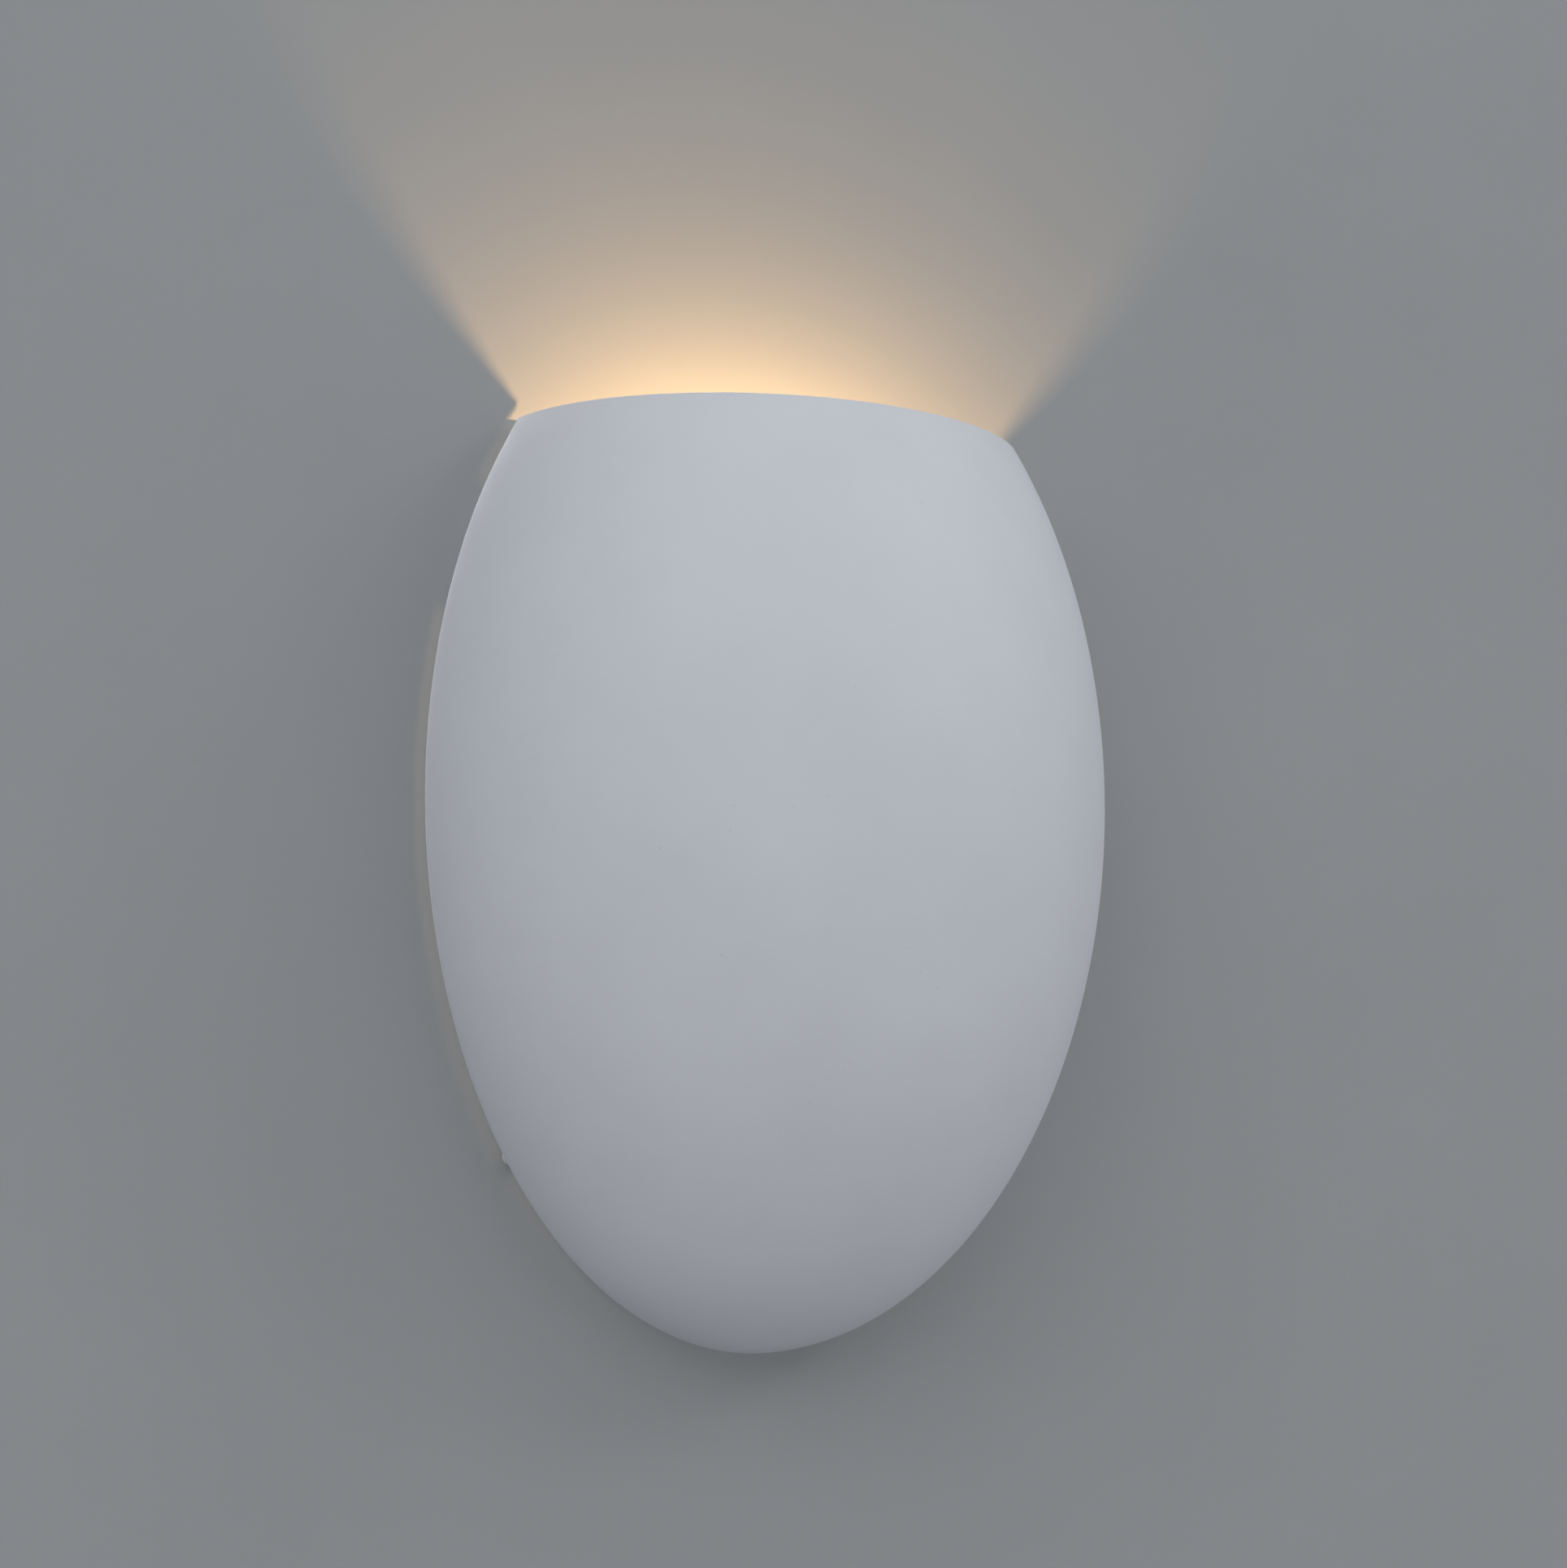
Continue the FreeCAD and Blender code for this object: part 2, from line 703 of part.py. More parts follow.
def wall_plate():
    body = new_body("wall_plate")
    flange = new_sketch(body, "flange_outline", "XZ_Plane")
    rectangle(
        flange, "-dims.plate_width / 2", "dims.plate_width / 2", "-dims.plate_bottom", "dims.plate_top"
    )
    pad(body, "flange", flange, "dims.plate_sheet")
    round_edges(body, "flange_corners", "dims.plate_corner", lambda edge: along(edge, V(0, 1, 0)))

    # The panel's sides slope at 45 degrees, so the hollow behind it is offset by this much of the sheet
    inset = "(dims.plate_sheet * (sqrt(2) - 1))"
    foot = "(dims.panel_width / 2 + dims.panel_rise)"
    low = "(-dims.plate_bottom + dims.panel_margin)"
    high = "(dims.plate_top - dims.panel_margin)"
    raised = new_sketch(body, "panel_outline", "XZ_Plane", "dims.plate_sheet")
    rectangle(raised, f"-{foot}", foot, low, high)
    pad(body, "raised_panel", raised, "dims.panel_rise", taper=-45.0)
    hollow = new_sketch(body, "hollow_outline", "XZ_Plane")
    rectangle(hollow, f"-{foot} + {inset}", f"{foot} - {inset}", f"{low} + {inset}", f"{high} - {inset}")
    pocket(body, "panel_hollow", hollow, "dims.panel_rise", taper=-45.0)

    windows = new_sketch(body, "window_outline", "XZ_Plane")
    for side in (-1, 1):
        centre = f"({side} * dims.hook_spacing / 2)"
        rectangle(
            windows,
            f"{centre} - dims.hook_width / 2",
            f"{centre} + dims.hook_width / 2",
            "dims.hook_seat",
            "dims.hook_seat + dims.hook_window",
        )
    pocket(body, "hook_windows", windows)
    hook(body, "left_hook", -1)
    hook(body, "right_hook", 1)
    round_edges(
        body,
        "hook_bends",
        "dims.hook_bend",
        lambda edge: along(edge, V(1, 0, 0))
        and near(middle(edge).y, -value(LIP_FRONT))
        and near(middle(edge).z, value("dims.hook_seat - dims.plate_sheet")),
    )

    slots = new_sketch(body, "slot_outline", "XZ_Plane")
    for side in (-1, 1):
        centre = f"({side} * dims.slot_spacing / 2)"
        half = "((dims.slot_length - dims.slot_width) / 2)"
        rectangle(
            slots,
            f"{centre} - {half}",
            f"{centre} + {half}",
            "-dims.slot_width / 2",
            "dims.slot_width / 2",
        )
    pocket(body, "slot_middles", slots)
    for name, way in (("slot_ends_near", -1), ("slot_ends_far", 1)):
        ends = new_sketch(body, name + "_outline", "XZ_Plane")
        for side in (-1, 1):
            reach = f"({side} * dims.slot_spacing / 2 + {way} * (dims.slot_length - dims.slot_width) / 2)"
            circle(ends, reach, "0", "dims.slot_width / 2")
        pocket(body, name, ends)

    holes = new_sketch(body, "panel_holes", "XZ_Plane")
    circle(holes, "0", "0", "dims.grommet_hole_radius")
    circle(holes, "-dims.earth_across", "-dims.earth_drop", "dims.stud_collar_radius")
    for side in (-1, 1):
        circle(holes, f"{side} * dims.rivet_spacing / 2", "-dims.rivet_drop", "dims.rivet_radius")
    for centre in block_screw_places():
        circle(holes, centre, BLOCK_MIDDLE, "dims.small_screw_radius + dims.small_screw_clearance")
    pocket(body, "panel_hole_cut", holes)
    piece(body, "wall_plate")


def cable_grommet():
    """A rubber ring in the panel's hole: two lips with a groove between them for the sheet."""
    outer = "(dims.grommet_hole_radius + dims.grommet_rim)"
    back = f"(dims.grommet_lip - {PANEL_BACK})"
    front = f"(-{PANEL_FRONT} - dims.grommet_lip)"
    body = new_body("cable_grommet")
    sketch = new_sketch(body, "grommet_profile", "XY_Plane")
    outline(
        sketch,
        [
            ("dims.cable_radius", back),
            (outer, back),
            (outer, f"-{PANEL_BACK}"),
            ("dims.grommet_hole_radius", f"-{PANEL_BACK}"),
            ("dims.grommet_hole_radius", f"-{PANEL_FRONT}"),
            (outer, f"-{PANEL_FRONT}"),
            (outer, front),
            ("dims.cable_radius", front),
        ],
    )
    turned(body, "grommet_ring", sketch)
    piece(body, "cable_grommet")


# The lamp bracket and the lampholder


def lamp_bracket():
    body = new_body("lamp_bracket")
    profile = new_sketch(body, "bracket_profile", "YZ_Plane")
    foot_low = "(-dims.bracket_top - dims.bracket_drop)"
    outline(
        profile,
        [
            (f"-{PANEL_FRONT}", foot_low),
            (f"-{PANEL_FRONT}", "-dims.bracket_top"),
            ("-dims.bracket_reach", "-dims.bracket_top"),
            ("-dims.bracket_reach", SHELF_UNDER),
            (f"-{BRACKET_FRONT}", SHELF_UNDER),
            (f"-{BRACKET_FRONT}", foot_low),
        ],
    )
    pad(body, "bracket_pad", profile, "dims.bracket_width", symmetric=True)
    back = -value(PANEL_FRONT)
    front = -value(BRACKET_FRONT)
    top = -value("dims.bracket_top")
    under = value(SHELF_UNDER)
    round_edges(
        body,
        "outer_bend",
        "dims.bracket_bend",
        lambda e: along(e, V(1, 0, 0)) and near(middle(e).y, back) and near(middle(e).z, top),
    )
    round_edges(
        body,
        "inner_bend",
        "dims.bracket_bend - dims.bracket_sheet",
        lambda e: along(e, V(1, 0, 0)) and near(middle(e).y, front) and near(middle(e).z, under),
    )
    reach = -value("dims.bracket_reach")
    low = value(foot_low)
    round_edges(
        body,
        "shelf_corners",
        "dims.bracket_corner",
        lambda e: along(e, V(0, 0, 1)) and near(middle(e).y, reach),
    )
    round_edges(
        body,
        "foot_corners",
        "dims.bracket_corner",
        lambda e: along(e, V(0, 1, 0)) and near(middle(e).z, low),
    )
    shelf_holes = new_sketch(body, "shelf_holes", "XY_Plane", SHELF_UNDER)
    for side in (-1, 1):
        circle(
            shelf_holes,
            f"{side} * dims.holder_screw_spacing / 2",
            "-dims.lamp_reach",
            "dims.small_screw_radius + dims.small_screw_clearance",
        )
        circle(shelf_holes, f"{side} * dims.pin_spacing / 2", "-dims.lamp_reach", "dims.lead_hole_radius")
    pocket(body, "shelf_hole_cut", shelf_holes, "dims.bracket_sheet")
    rivet_holes = new_sketch(body, "rivet_holes", "XZ_Plane", PANEL_FRONT)
    for side in (-1, 1):
        circle(rivet_holes, f"{side} * dims.rivet_spacing / 2", "-dims.rivet_drop", "dims.rivet_radius")
    pocket(body, "rivet_hole_cut", rivet_holes, "dims.bracket_sheet")
    piece(body, "lamp_bracket")


def bracket_rivets():
    rivets = []
    for n, side in enumerate((-1, 1)):
        x = f"{side} * dims.rivet_spacing / 2"
        z = "-dims.rivet_drop"
        tail_back = f"(dims.rivet_tail_height - {PANEL_BACK})"
        tail = rod(
            f"rivet_tail_{n}", "dims.rivet_tail_radius", "dims.rivet_tail_height", x, tail_back, z, TURN_OUT
        )
        shank = rod(
            f"rivet_shank_{n}",
            "dims.rivet_radius",
            "dims.plate_sheet + dims.bracket_sheet",
            x,
            f"-{PANEL_BACK}",
            z,
            TURN_OUT,
        )
        head = rod(
            f"rivet_head_{n}",
            "dims.rivet_head_radius",
            "dims.rivet_head_height",
            x,
            f"-{BRACKET_FRONT}",
            z,
            TURN_OUT,
        )
        face = -value(BRACKET_FRONT) - value("dims.rivet_head_height")
        domed = rounded(
            f"rivet_dome_{n}",
            head,
            value("dims.rivet_head_height") * RIVET_DOME_SHARE,
            lambda edge: near(middle(edge).y, face),
        )
        rivets.append(join(f"rivet_{n}", [tail, shank, domed]))
    piece(group("rivet_pair", rivets), "bracket_rivets")


def holder_outline(body, name, low):
    """The lampholder's outline in plan, at height low."""
    sketch = new_sketch(body, name, "XY_Plane", low)
    rectangle(
        sketch,
        "-dims.holder_length / 2",
        "dims.holder_length / 2",
        "-dims.lamp_reach - dims.holder_width / 2",
        "-dims.lamp_reach + dims.holder_width / 2",
    )
    return sketch


def pair_of_circles(sketch, spacing, radius):
    """Two circles on the lampholder's middle line."""
    for side in (-1, 1):
        circle(sketch, f"{side} * {spacing} / 2", "-dims.lamp_reach", radius)


def pair_of_rectangles(sketch, length, width):
    """Two rectangles round the middles of the lamp's pins."""
    for side in (-1, 1):
        centre = f"({side} * dims.pin_spacing / 2)"
        rectangle(
            sketch,
            f"{centre} - {length} / 2",
            f"{centre} + {length} / 2",
            f"-dims.lamp_reach - {width} / 2",
            f"-dims.lamp_reach + {width} / 2",
        )


def holder_base():
    body = new_body("holder_base")
    pad(body, "base_pad", holder_outline(body, "base_outline", HOLDER_LOW), "dims.holder_base_height")
    round_edges(body, "base_corners", "dims.holder_round", lambda edge: along(edge, V(0, 0, 1)))
    holes = new_sketch(body, "base_holes", "XY_Plane", HOLDER_LOW)
    pair_of_circles(holes, "dims.pin_spacing", "dims.lead_hole_radius")
    pair_of_circles(
        holes, "dims.holder_screw_spacing", "(dims.small_screw_radius + dims.small_screw_clearance)"
    )
    pocket(body, "base_hole_cut", holes)
    piece(body, "holder_base")


def holder_body():
    body = new_body("holder_body")
    pad(body, "body_pad", holder_outline(body, "body_outline", HOLDER_MID), "dims.holder_body_height")
    round_edges(body, "body_corners", "dims.holder_round", lambda edge: along(edge, V(0, 0, 1)))
    socket = new_sketch(body, "socket_outline", "XY_Plane", SOCKET_FLOOR)
    half_length = "(dims.lamp_foot_length / 2 + dims.socket_clearance)"
    half_width = "(dims.lamp_foot_width / 2 + dims.socket_clearance)"
    rectangle(
        socket,
        f"-{half_length}",
        half_length,
        f"-dims.lamp_reach - {half_width}",
        f"-dims.lamp_reach + {half_width}",
    )
    pocket(body, "socket_cut", socket, "dims.socket_depth")
    chambers = new_sketch(body, "chamber_outline", "XY_Plane", HOLDER_MID)
    pair_of_rectangles(chambers, "dims.chamber_length", "dims.chamber_width")
    pocket(body, "chamber_cut", chambers, "dims.chamber_height")
    pin_slots = new_sketch(body, "pin_slot_outline", "XY_Plane", HOLDER_MID)
    slot_length = "(dims.pin_loop_width + 2 * dims.socket_clearance)"
    slot_width = "(2 * dims.pin_wire_radius + 2 * dims.socket_clearance)"
    pair_of_rectangles(pin_slots, slot_length, slot_width)
    pocket(body, "pin_slot_cut", pin_slots, "dims.holder_body_height")
    screw_holes = new_sketch(body, "body_holes", "XY_Plane", HOLDER_MID)
    pair_of_circles(
        screw_holes, "dims.holder_screw_spacing", "(dims.small_screw_radius + dims.small_screw_clearance)"
    )
    pocket(body, "body_hole_cut", screw_holes)
    recesses = new_sketch(body, "head_recesses", "XY_Plane", f"{HOLDER_TOP} - dims.small_head_height")
    pair_of_circles(
        recesses, "dims.holder_screw_spacing", "(dims.small_head_radius + dims.head_recess_clearance)"
    )
    pocket(body, "head_recess_cut", recesses, "dims.small_head_height")
    piece(body, "holder_body")


def holder_contacts():
    """Two U-shaped spring clips that grip the lamp's pins, each with a tail for its lead."""
    clips = []
    for n, side in enumerate((-1, 1)):
        left = f"({side} * dims.pin_spacing / 2 - dims.contact_width / 2)"
        gap = "(dims.pin_wire_radius + dims.pin_fit)"
        bridge = block(
            f"clip_bridge_{n}",
            left,
            f"-dims.lamp_reach - {gap} - dims.contact_sheet",
            HOLDER_MID,
            "dims.contact_width",
            f"2 * {gap} + 2 * dims.contact_sheet",
            "dims.contact_sheet",
        )
        blades = [
            block(
                f"clip_blade_{n}_{m}",
                left,
                f"-dims.lamp_reach {edge}",
                HOLDER_MID,
                "dims.contact_width",
                "dims.contact_sheet",
                "dims.contact_height",
            )
            for m, edge in enumerate((f"+ {gap}", f"- {gap} - dims.contact_sheet"))
        ]
        tail = rod(
            f"clip_tail_{n}",
            "dims.contact_tail_radius",
            "dims.contact_tail_length",
            f"{side} * dims.pin_spacing / 2",
            "-dims.lamp_reach",
            f"{HOLDER_MID} - dims.contact_tail_length",
        )
        clips.append(join(f"clip_{n}", [bridge, *blades, tail]))
    piece(group("clip_pair", clips), "holder_contacts")


def holder_fixings():
    """The screws down through the lampholder and its shelf, and their nuts."""
    screws, nuts = [], []
    recess = "(dims.small_head_height / 2)"
    for n, side in enumerate((-1, 1)):
        x = f"({side} * dims.holder_screw_spacing / 2)"
        y = "(-dims.lamp_reach)"
        head = rod(
            f"holder_head_{n}",
            "dims.small_head_radius",
            "dims.small_head_height",
            x,
            y,
            f"{HOLDER_TOP} - dims.small_head_height",
        )
        end = f"({SHELF_UNDER} - dims.small_nut_height - dims.small_screw_end)"
        shank = rod(
            f"holder_shank_{n}",
            "dims.small_screw_radius",
            f"{HOLDER_TOP} - dims.small_head_height - {end}",
            x,
            y,
            end,
        )
        slot = block(
            f"holder_driver_slot_{n}",
            f"{x} - dims.small_head_radius",
            f"{y} - dims.clamp_slot_width / 2",
            f"{HOLDER_TOP} - {recess}",
            "2 * dims.small_head_radius",
            "dims.clamp_slot_width",
            recess,
        )
        screws.append(cut(f"holder_screw_{n}", join(f"holder_screw_blank_{n}", [head, shank]), [slot]))
        nut_low = f"({SHELF_UNDER} - dims.small_nut_height)"
        height = "dims.small_nut_height"
        nut = hexagon(f"holder_nut_blank_{n}", "dims.small_nut_radius", height, x, y, nut_low)
        bore = rod(f"holder_nut_bore_{n}", "dims.small_screw_radius", height, x, y, nut_low)
        nuts.append(cut(f"holder_nut_{n}", nut, [bore]))
    piece(group("holder_screw_pair", screws), "holder_screws")
    piece(group("holder_nut_pair", nuts), "holder_nuts")


# The capsule lamp


def lamp_base():
    """The lamp's white base: a flat foot, a sloped skirt and a round body with the dome's seat."""
    body = new_body("lamp_base")
    foot = new_sketch(body, "foot_outline", "XY_Plane", SOCKET_FLOOR)
    rectangle(
        foot,
        "-dims.lamp_foot_length / 2",
        "dims.lamp_foot_length / 2",
        "-dims.lamp_reach - dims.lamp_foot_width / 2",
        "-dims.lamp_reach + dims.lamp_foot_width / 2",
    )
    pad(body, "foot", foot, "dims.lamp_foot_height")
    round_edges(body, "foot_sides", "dims.lamp_foot_width / 3", lambda edge: along(edge, V(0, 0, 1)))
    inner = "(dims.dome_radius - dims.dome_wall)"
    seat = f"({LAMP_SHOULDER} - dims.dome_seat_depth)"
    barrel = new_sketch(body, "barrel_profile", "XZ_Plane", "dims.lamp_reach")
    outline(
        barrel,
        [
            ("0", FOOT_TOP),
            ("dims.lamp_base_radius - dims.lamp_skirt / 2", FOOT_TOP),
            ("dims.lamp_base_radius", f"{FOOT_TOP} + dims.lamp_skirt"),
            ("dims.lamp_base_radius", LAMP_SHOULDER),
            ("dims.dome_radius", LAMP_SHOULDER),
            ("dims.dome_radius", seat),
            (inner, seat),
            (inner, LAMP_SHOULDER),
            ("0", LAMP_SHOULDER),
        ],
    )
    turned(body, "barrel", barrel)
    leg_holes = new_sketch(body, "leg_holes", "XY_Plane", SOCKET_FLOOR)
    for side in (-1, 1):
        for leg in (-1, 1):
            half = "(dims.pin_loop_width / 2 - dims.pin_wire_radius)"
            circle(
                leg_holes,
                f"{side} * dims.pin_spacing / 2 + {leg} * {half}",
                "-dims.lamp_reach",
                "dims.pin_wire_radius",
            )
    pocket(body, "leg_hole_cut", leg_holes, "dims.pin_root")
    piece(body, "lamp_base")


def lamp_dome():
    """The frosted cover: a tube with a rounded end, open at the bottom."""
    low = f"({LAMP_SHOULDER} - dims.dome_seat_depth)"
    straight = "(dims.dome_height + dims.dome_seat_depth - dims.dome_radius)"

    def capsule(name, radius):
        tube = rod(name + "_tube", radius, straight, "0", "-dims.lamp_reach", low)
        end = doc.addObject("Part::Sphere", name + "_end")
        bind(end, Radius=radius)
        place(end, "0", "-dims.lamp_reach", f"{low} + {straight}")
        return join(name, [tube, end])

    outside = capsule("dome_outside", "dims.dome_radius")
    inside = capsule("dome_inside", "(dims.dome_radius - dims.dome_wall)")
    below = rod(
        "dome_below",
        "dims.dome_radius",
        "dims.dome_radius",
        "0",
        "-dims.lamp_reach",
        f"{low} - dims.dome_radius",
    )
    piece(cut("lamp_dome_solid", outside, [inside, below]), "lamp_dome")


def lamp_core():
    """The post that carries the light-emitting chips, and the chips on its four sides."""
    half = "(dims.core_width / 2)"
    post = block(
        "core_post",
        f"-{half}",
        f"-dims.lamp_reach - {half}",
        LAMP_SHOULDER,
        "dims.core_width",
        "dims.core_width",
        "dims.core_height",
    )
    edges = rounded("core_post_round", post, value("dims.chip_sheet"), lambda edge: along(edge, V(0, 0, 1)))
    piece(edges, "lamp_core")
    chips = []
    rows = int(value("dims.chip_rows"))
    for row in range(rows):
        z = f"{LAMP_SHOULDER} + dims.chip_start + {row} * dims.chip_pitch - dims.chip_height / 2"
        for side in (-1, 1):
            outward = half if side > 0 else f"(-{half} - dims.chip_sheet)"
            chips.append(
                block(
                    f"chip_front_{row}_{side + 1}",
                    "-dims.chip_width / 2",
                    f"-dims.lamp_reach + {outward}",
                    z,
                    "dims.chip_width",
                    "dims.chip_sheet",
                    "dims.chip_height",
                )
            )
            chips.append(
                block(
                    f"chip_side_{row}_{side + 1}",
                    outward,
                    "-dims.lamp_reach - dims.chip_width / 2",
                    z,
                    "dims.chip_sheet",
                    "dims.chip_width",
                    "dims.chip_height",
                )
            )
    piece(group("chip_set", chips), "lamp_chips")


def lamp_pins():
    """Two wire loops, each with its legs let into the lamp's base."""
    loops = []
    bend = "(dims.pin_loop_width / 2 - dims.pin_wire_radius)"
    straight = "(dims.pin_length - dims.pin_loop_width / 2)"
    for n, side in enumerate((-1, 1)):
        centre = f"({side} * dims.pin_spacing / 2)"
        legs = [
            rod(
                f"pin_leg_{n}_{m}",
                "dims.pin_wire_radius",
                f"{straight} + dims.pin_root",
                f"{centre} + {leg} * {bend}",
                "-dims.lamp_reach",
                f"{SOCKET_FLOOR} - {straight}",
            )
            for m, leg in enumerate((-1, 1))
        ]
        turn = doc.addObject("Part::Torus", f"pin_bend_{n}")
        turn.Placement = FreeCAD.Placement(V(), FreeCAD.Rotation(V(1, 0, 0), -90))
        turn.Angle3 = 180
        bind(turn, Radius1=bend, Radius2="dims.pin_wire_radius")
        place(turn, centre, "-dims.lamp_reach", f"{SOCKET_FLOOR} - {straight}")
        loops.append(join(f"pin_{n}", [*legs, turn]))
    piece(group("pin_pair", loops), "lamp_pins")


# The terminal block


def pole_places():
    """Where the poles lie across the block, from left to right."""
    leftmost = "(dims.block_across - (dims.pole_count - 1) / 2 * dims.pole_pitch)"
    return [f"({leftmost} + {n} * dims.pole_pitch)" for n in range(int(value("dims.pole_count")))]


def block_screw_places():
    """The fixing screws lie between the first two and the last two poles."""
    reach = "((dims.pole_count / 2 - 1) * dims.pole_pitch)"
    return [f"(dims.block_across - {reach})", f"(dims.block_across + {reach})"]


def clamp_heights():
    return [f"({BLOCK_MIDDLE} + {way} * dims.clamp_spacing / 2)" for way in (-1, 1)]


def terminal_block():
    body = new_body("terminal_block")
    face = new_sketch(body, "block_outline", "XZ_Plane", PANEL_FRONT)
    half = "(dims.pole_count * dims.pole_pitch / 2)"
    rectangle(
        face,
        f"dims.block_across - {half}",
        f"dims.block_across + {half}",
        BLOCK_LOW,
        f"{BLOCK_LOW} + dims.block_height",
    )
    pad(body, "block_pad", face, "dims.block_depth")
    round_edges(body, "block_corners", "dims.block_round", lambda edge: along(edge, V(0, 1, 0)))
    bores = new_sketch(body, "sleeve_bores", "XY_Plane", BLOCK_LOW)
    for x in pole_places():
        circle(bores, x, f"-{SLEEVE_LINE}", "dims.sleeve_radius")
    pocket(body, "sleeve_bore_cut", bores, "dims.block_height")
    wells = new_sketch(body, "clamp_wells", "XZ_Plane", SLEEVE_LINE)
    for x in pole_places():
        for z in clamp_heights():
            circle(wells, x, z, "dims.clamp_head_radius + dims.clamp_well_clearance")
    pocket(body, "clamp_well_cut", wells, f"{BLOCK_FRONT} - {SLEEVE_LINE}")
    holes = new_sketch(body, "block_holes", "XZ_Plane", PANEL_FRONT)
    for x in block_screw_places():
        circle(holes, x, BLOCK_MIDDLE, "dims.small_screw_radius + dims.small_screw_clearance")
    pocket(body, "block_hole_cut", holes, "dims.block_depth")
    recesses = new_sketch(body, "block_recesses", "XZ_Plane", f"{BLOCK_FRONT} - dims.block_recess")
    for x in block_screw_places():
        circle(recesses, x, BLOCK_MIDDLE, "dims.small_head_radius + dims.head_recess_clearance")
    pocket(body, "block_recess_cut", recesses, "dims.block_recess")
    piece(body, "terminal_block")


def terminal_metal():
    """The brass sleeves with their clamp screws, and the screws and nuts that hold the block."""
    sleeves, clamps = [], []
    sleeve_length = "(dims.block_height - 2 * dims.sleeve_inset)"
    head_low = f"({SLEEVE_LINE} + dims.sleeve_radius)"
    for n, x in enumerate(pole_places()):
        tube = rod(f"sleeve_{n}", "dims.sleeve_radius", sleeve_length, x, f"-{SLEEVE_LINE}", SLEEVE_LOW)
        tools = [rod(f"sleeve_bore_{n}", "dims.sleeve_bore", sleeve_length, x, f"-{SLEEVE_LINE}", SLEEVE_LOW)]
        for m, z in enumerate(clamp_heights()):
            thread = f"({head_low} - {SLEEVE_LINE} - dims.conductor_radius)"
            tools.append(
                rod(
                    f"sleeve_thread_{n}_{m}",
                    "dims.clamp_thread_radius",
                    "dims.sleeve_radius",
                    x,
                    f"-{SLEEVE_LINE}",
                    z,
                    TURN_OUT,
                )
            )
            tip = rod(
                f"clamp_tip_{n}_{m}",
                "dims.clamp_thread_radius",
                thread,
                x,
                f"-{SLEEVE_LINE} - dims.conductor_radius",
                z,
                TURN_OUT,
            )
            head = rod(
                f"clamp_head_{n}_{m}",
                "dims.clamp_head_radius",
                "dims.clamp_head_length",
                x,
                f"-{head_low}",
                z,
                TURN_OUT,
            )
            slot = block(
                f"clamp_slot_{n}_{m}",
                f"{x} - dims.clamp_head_radius",
                f"-{head_low} - dims.clamp_head_length",
                f"{z} - dims.clamp_slot_width / 2",
                "2 * dims.clamp_head_radius",
                "dims.clamp_slot_depth",
                "dims.clamp_slot_width",
            )
            clamps.append(cut(f"clamp_{n}_{m}", join(f"clamp_blank_{n}_{m}", [tip, head]), [slot]))
        sleeves.append(cut(f"sleeve_cut_{n}", tube, tools))
    piece(group("sleeve_set", sleeves), "terminal_sleeves")
    piece(group("clamp_set", clamps), "terminal_clamps")

    screws, nuts = [], []
    for n, x in enumerate(block_screw_places()):
        seat = f"({BLOCK_FRONT} - dims.block_recess)"
        end = f"({PANEL_BACK} - dims.small_nut_height)"
        head = rod(
            f"block_head_{n}",
            "dims.small_head_radius",
            "dims.small_head_height",
            x,
            f"-{seat}",
            BLOCK_MIDDLE,
            TURN_OUT,
        )
        shank = rod(
            f"block_shank_{n}",
            "dims.small_screw_radius",
            f"{seat} - {end}",
            x,
            f"-{end}",
            BLOCK_MIDDLE,
            TURN_OUT,
        )
        recess = "(dims.small_head_height / 2)"
        slot = block(
            f"block_driver_slot_{n}",
            f"{x} - dims.small_head_radius",
            f"-{seat} - dims.small_head_height",
            f"{BLOCK_MIDDLE} - dims.clamp_slot_width / 2",
            "2 * dims.small_head_radius",
            recess,
            "dims.clamp_slot_width",
        )
        screws.append(cut(f"block_screw_{n}", join(f"block_screw_blank_{n}", [head, shank]), [slot]))
        nut = hexagon(
            f"block_nut_blank_{n}",
            "dims.small_nut_radius",
            "dims.small_nut_height",
            x,
            f"-{end}",
            BLOCK_MIDDLE,
            TURN_OUT,
        )
        bore = rod(
            f"block_nut_bore_{n}",
            "dims.small_screw_radius",
            "dims.small_nut_height",
            x,
            f"-{end}",
            BLOCK_MIDDLE,
            TURN_OUT,
        )
        nuts.append(cut(f"block_nut_{n}", nut, [bore]))
    piece(group("block_screw_pair", screws), "terminal_screws")
    piece(group("block_nut_pair", nuts), "terminal_nuts")


# The earth stud


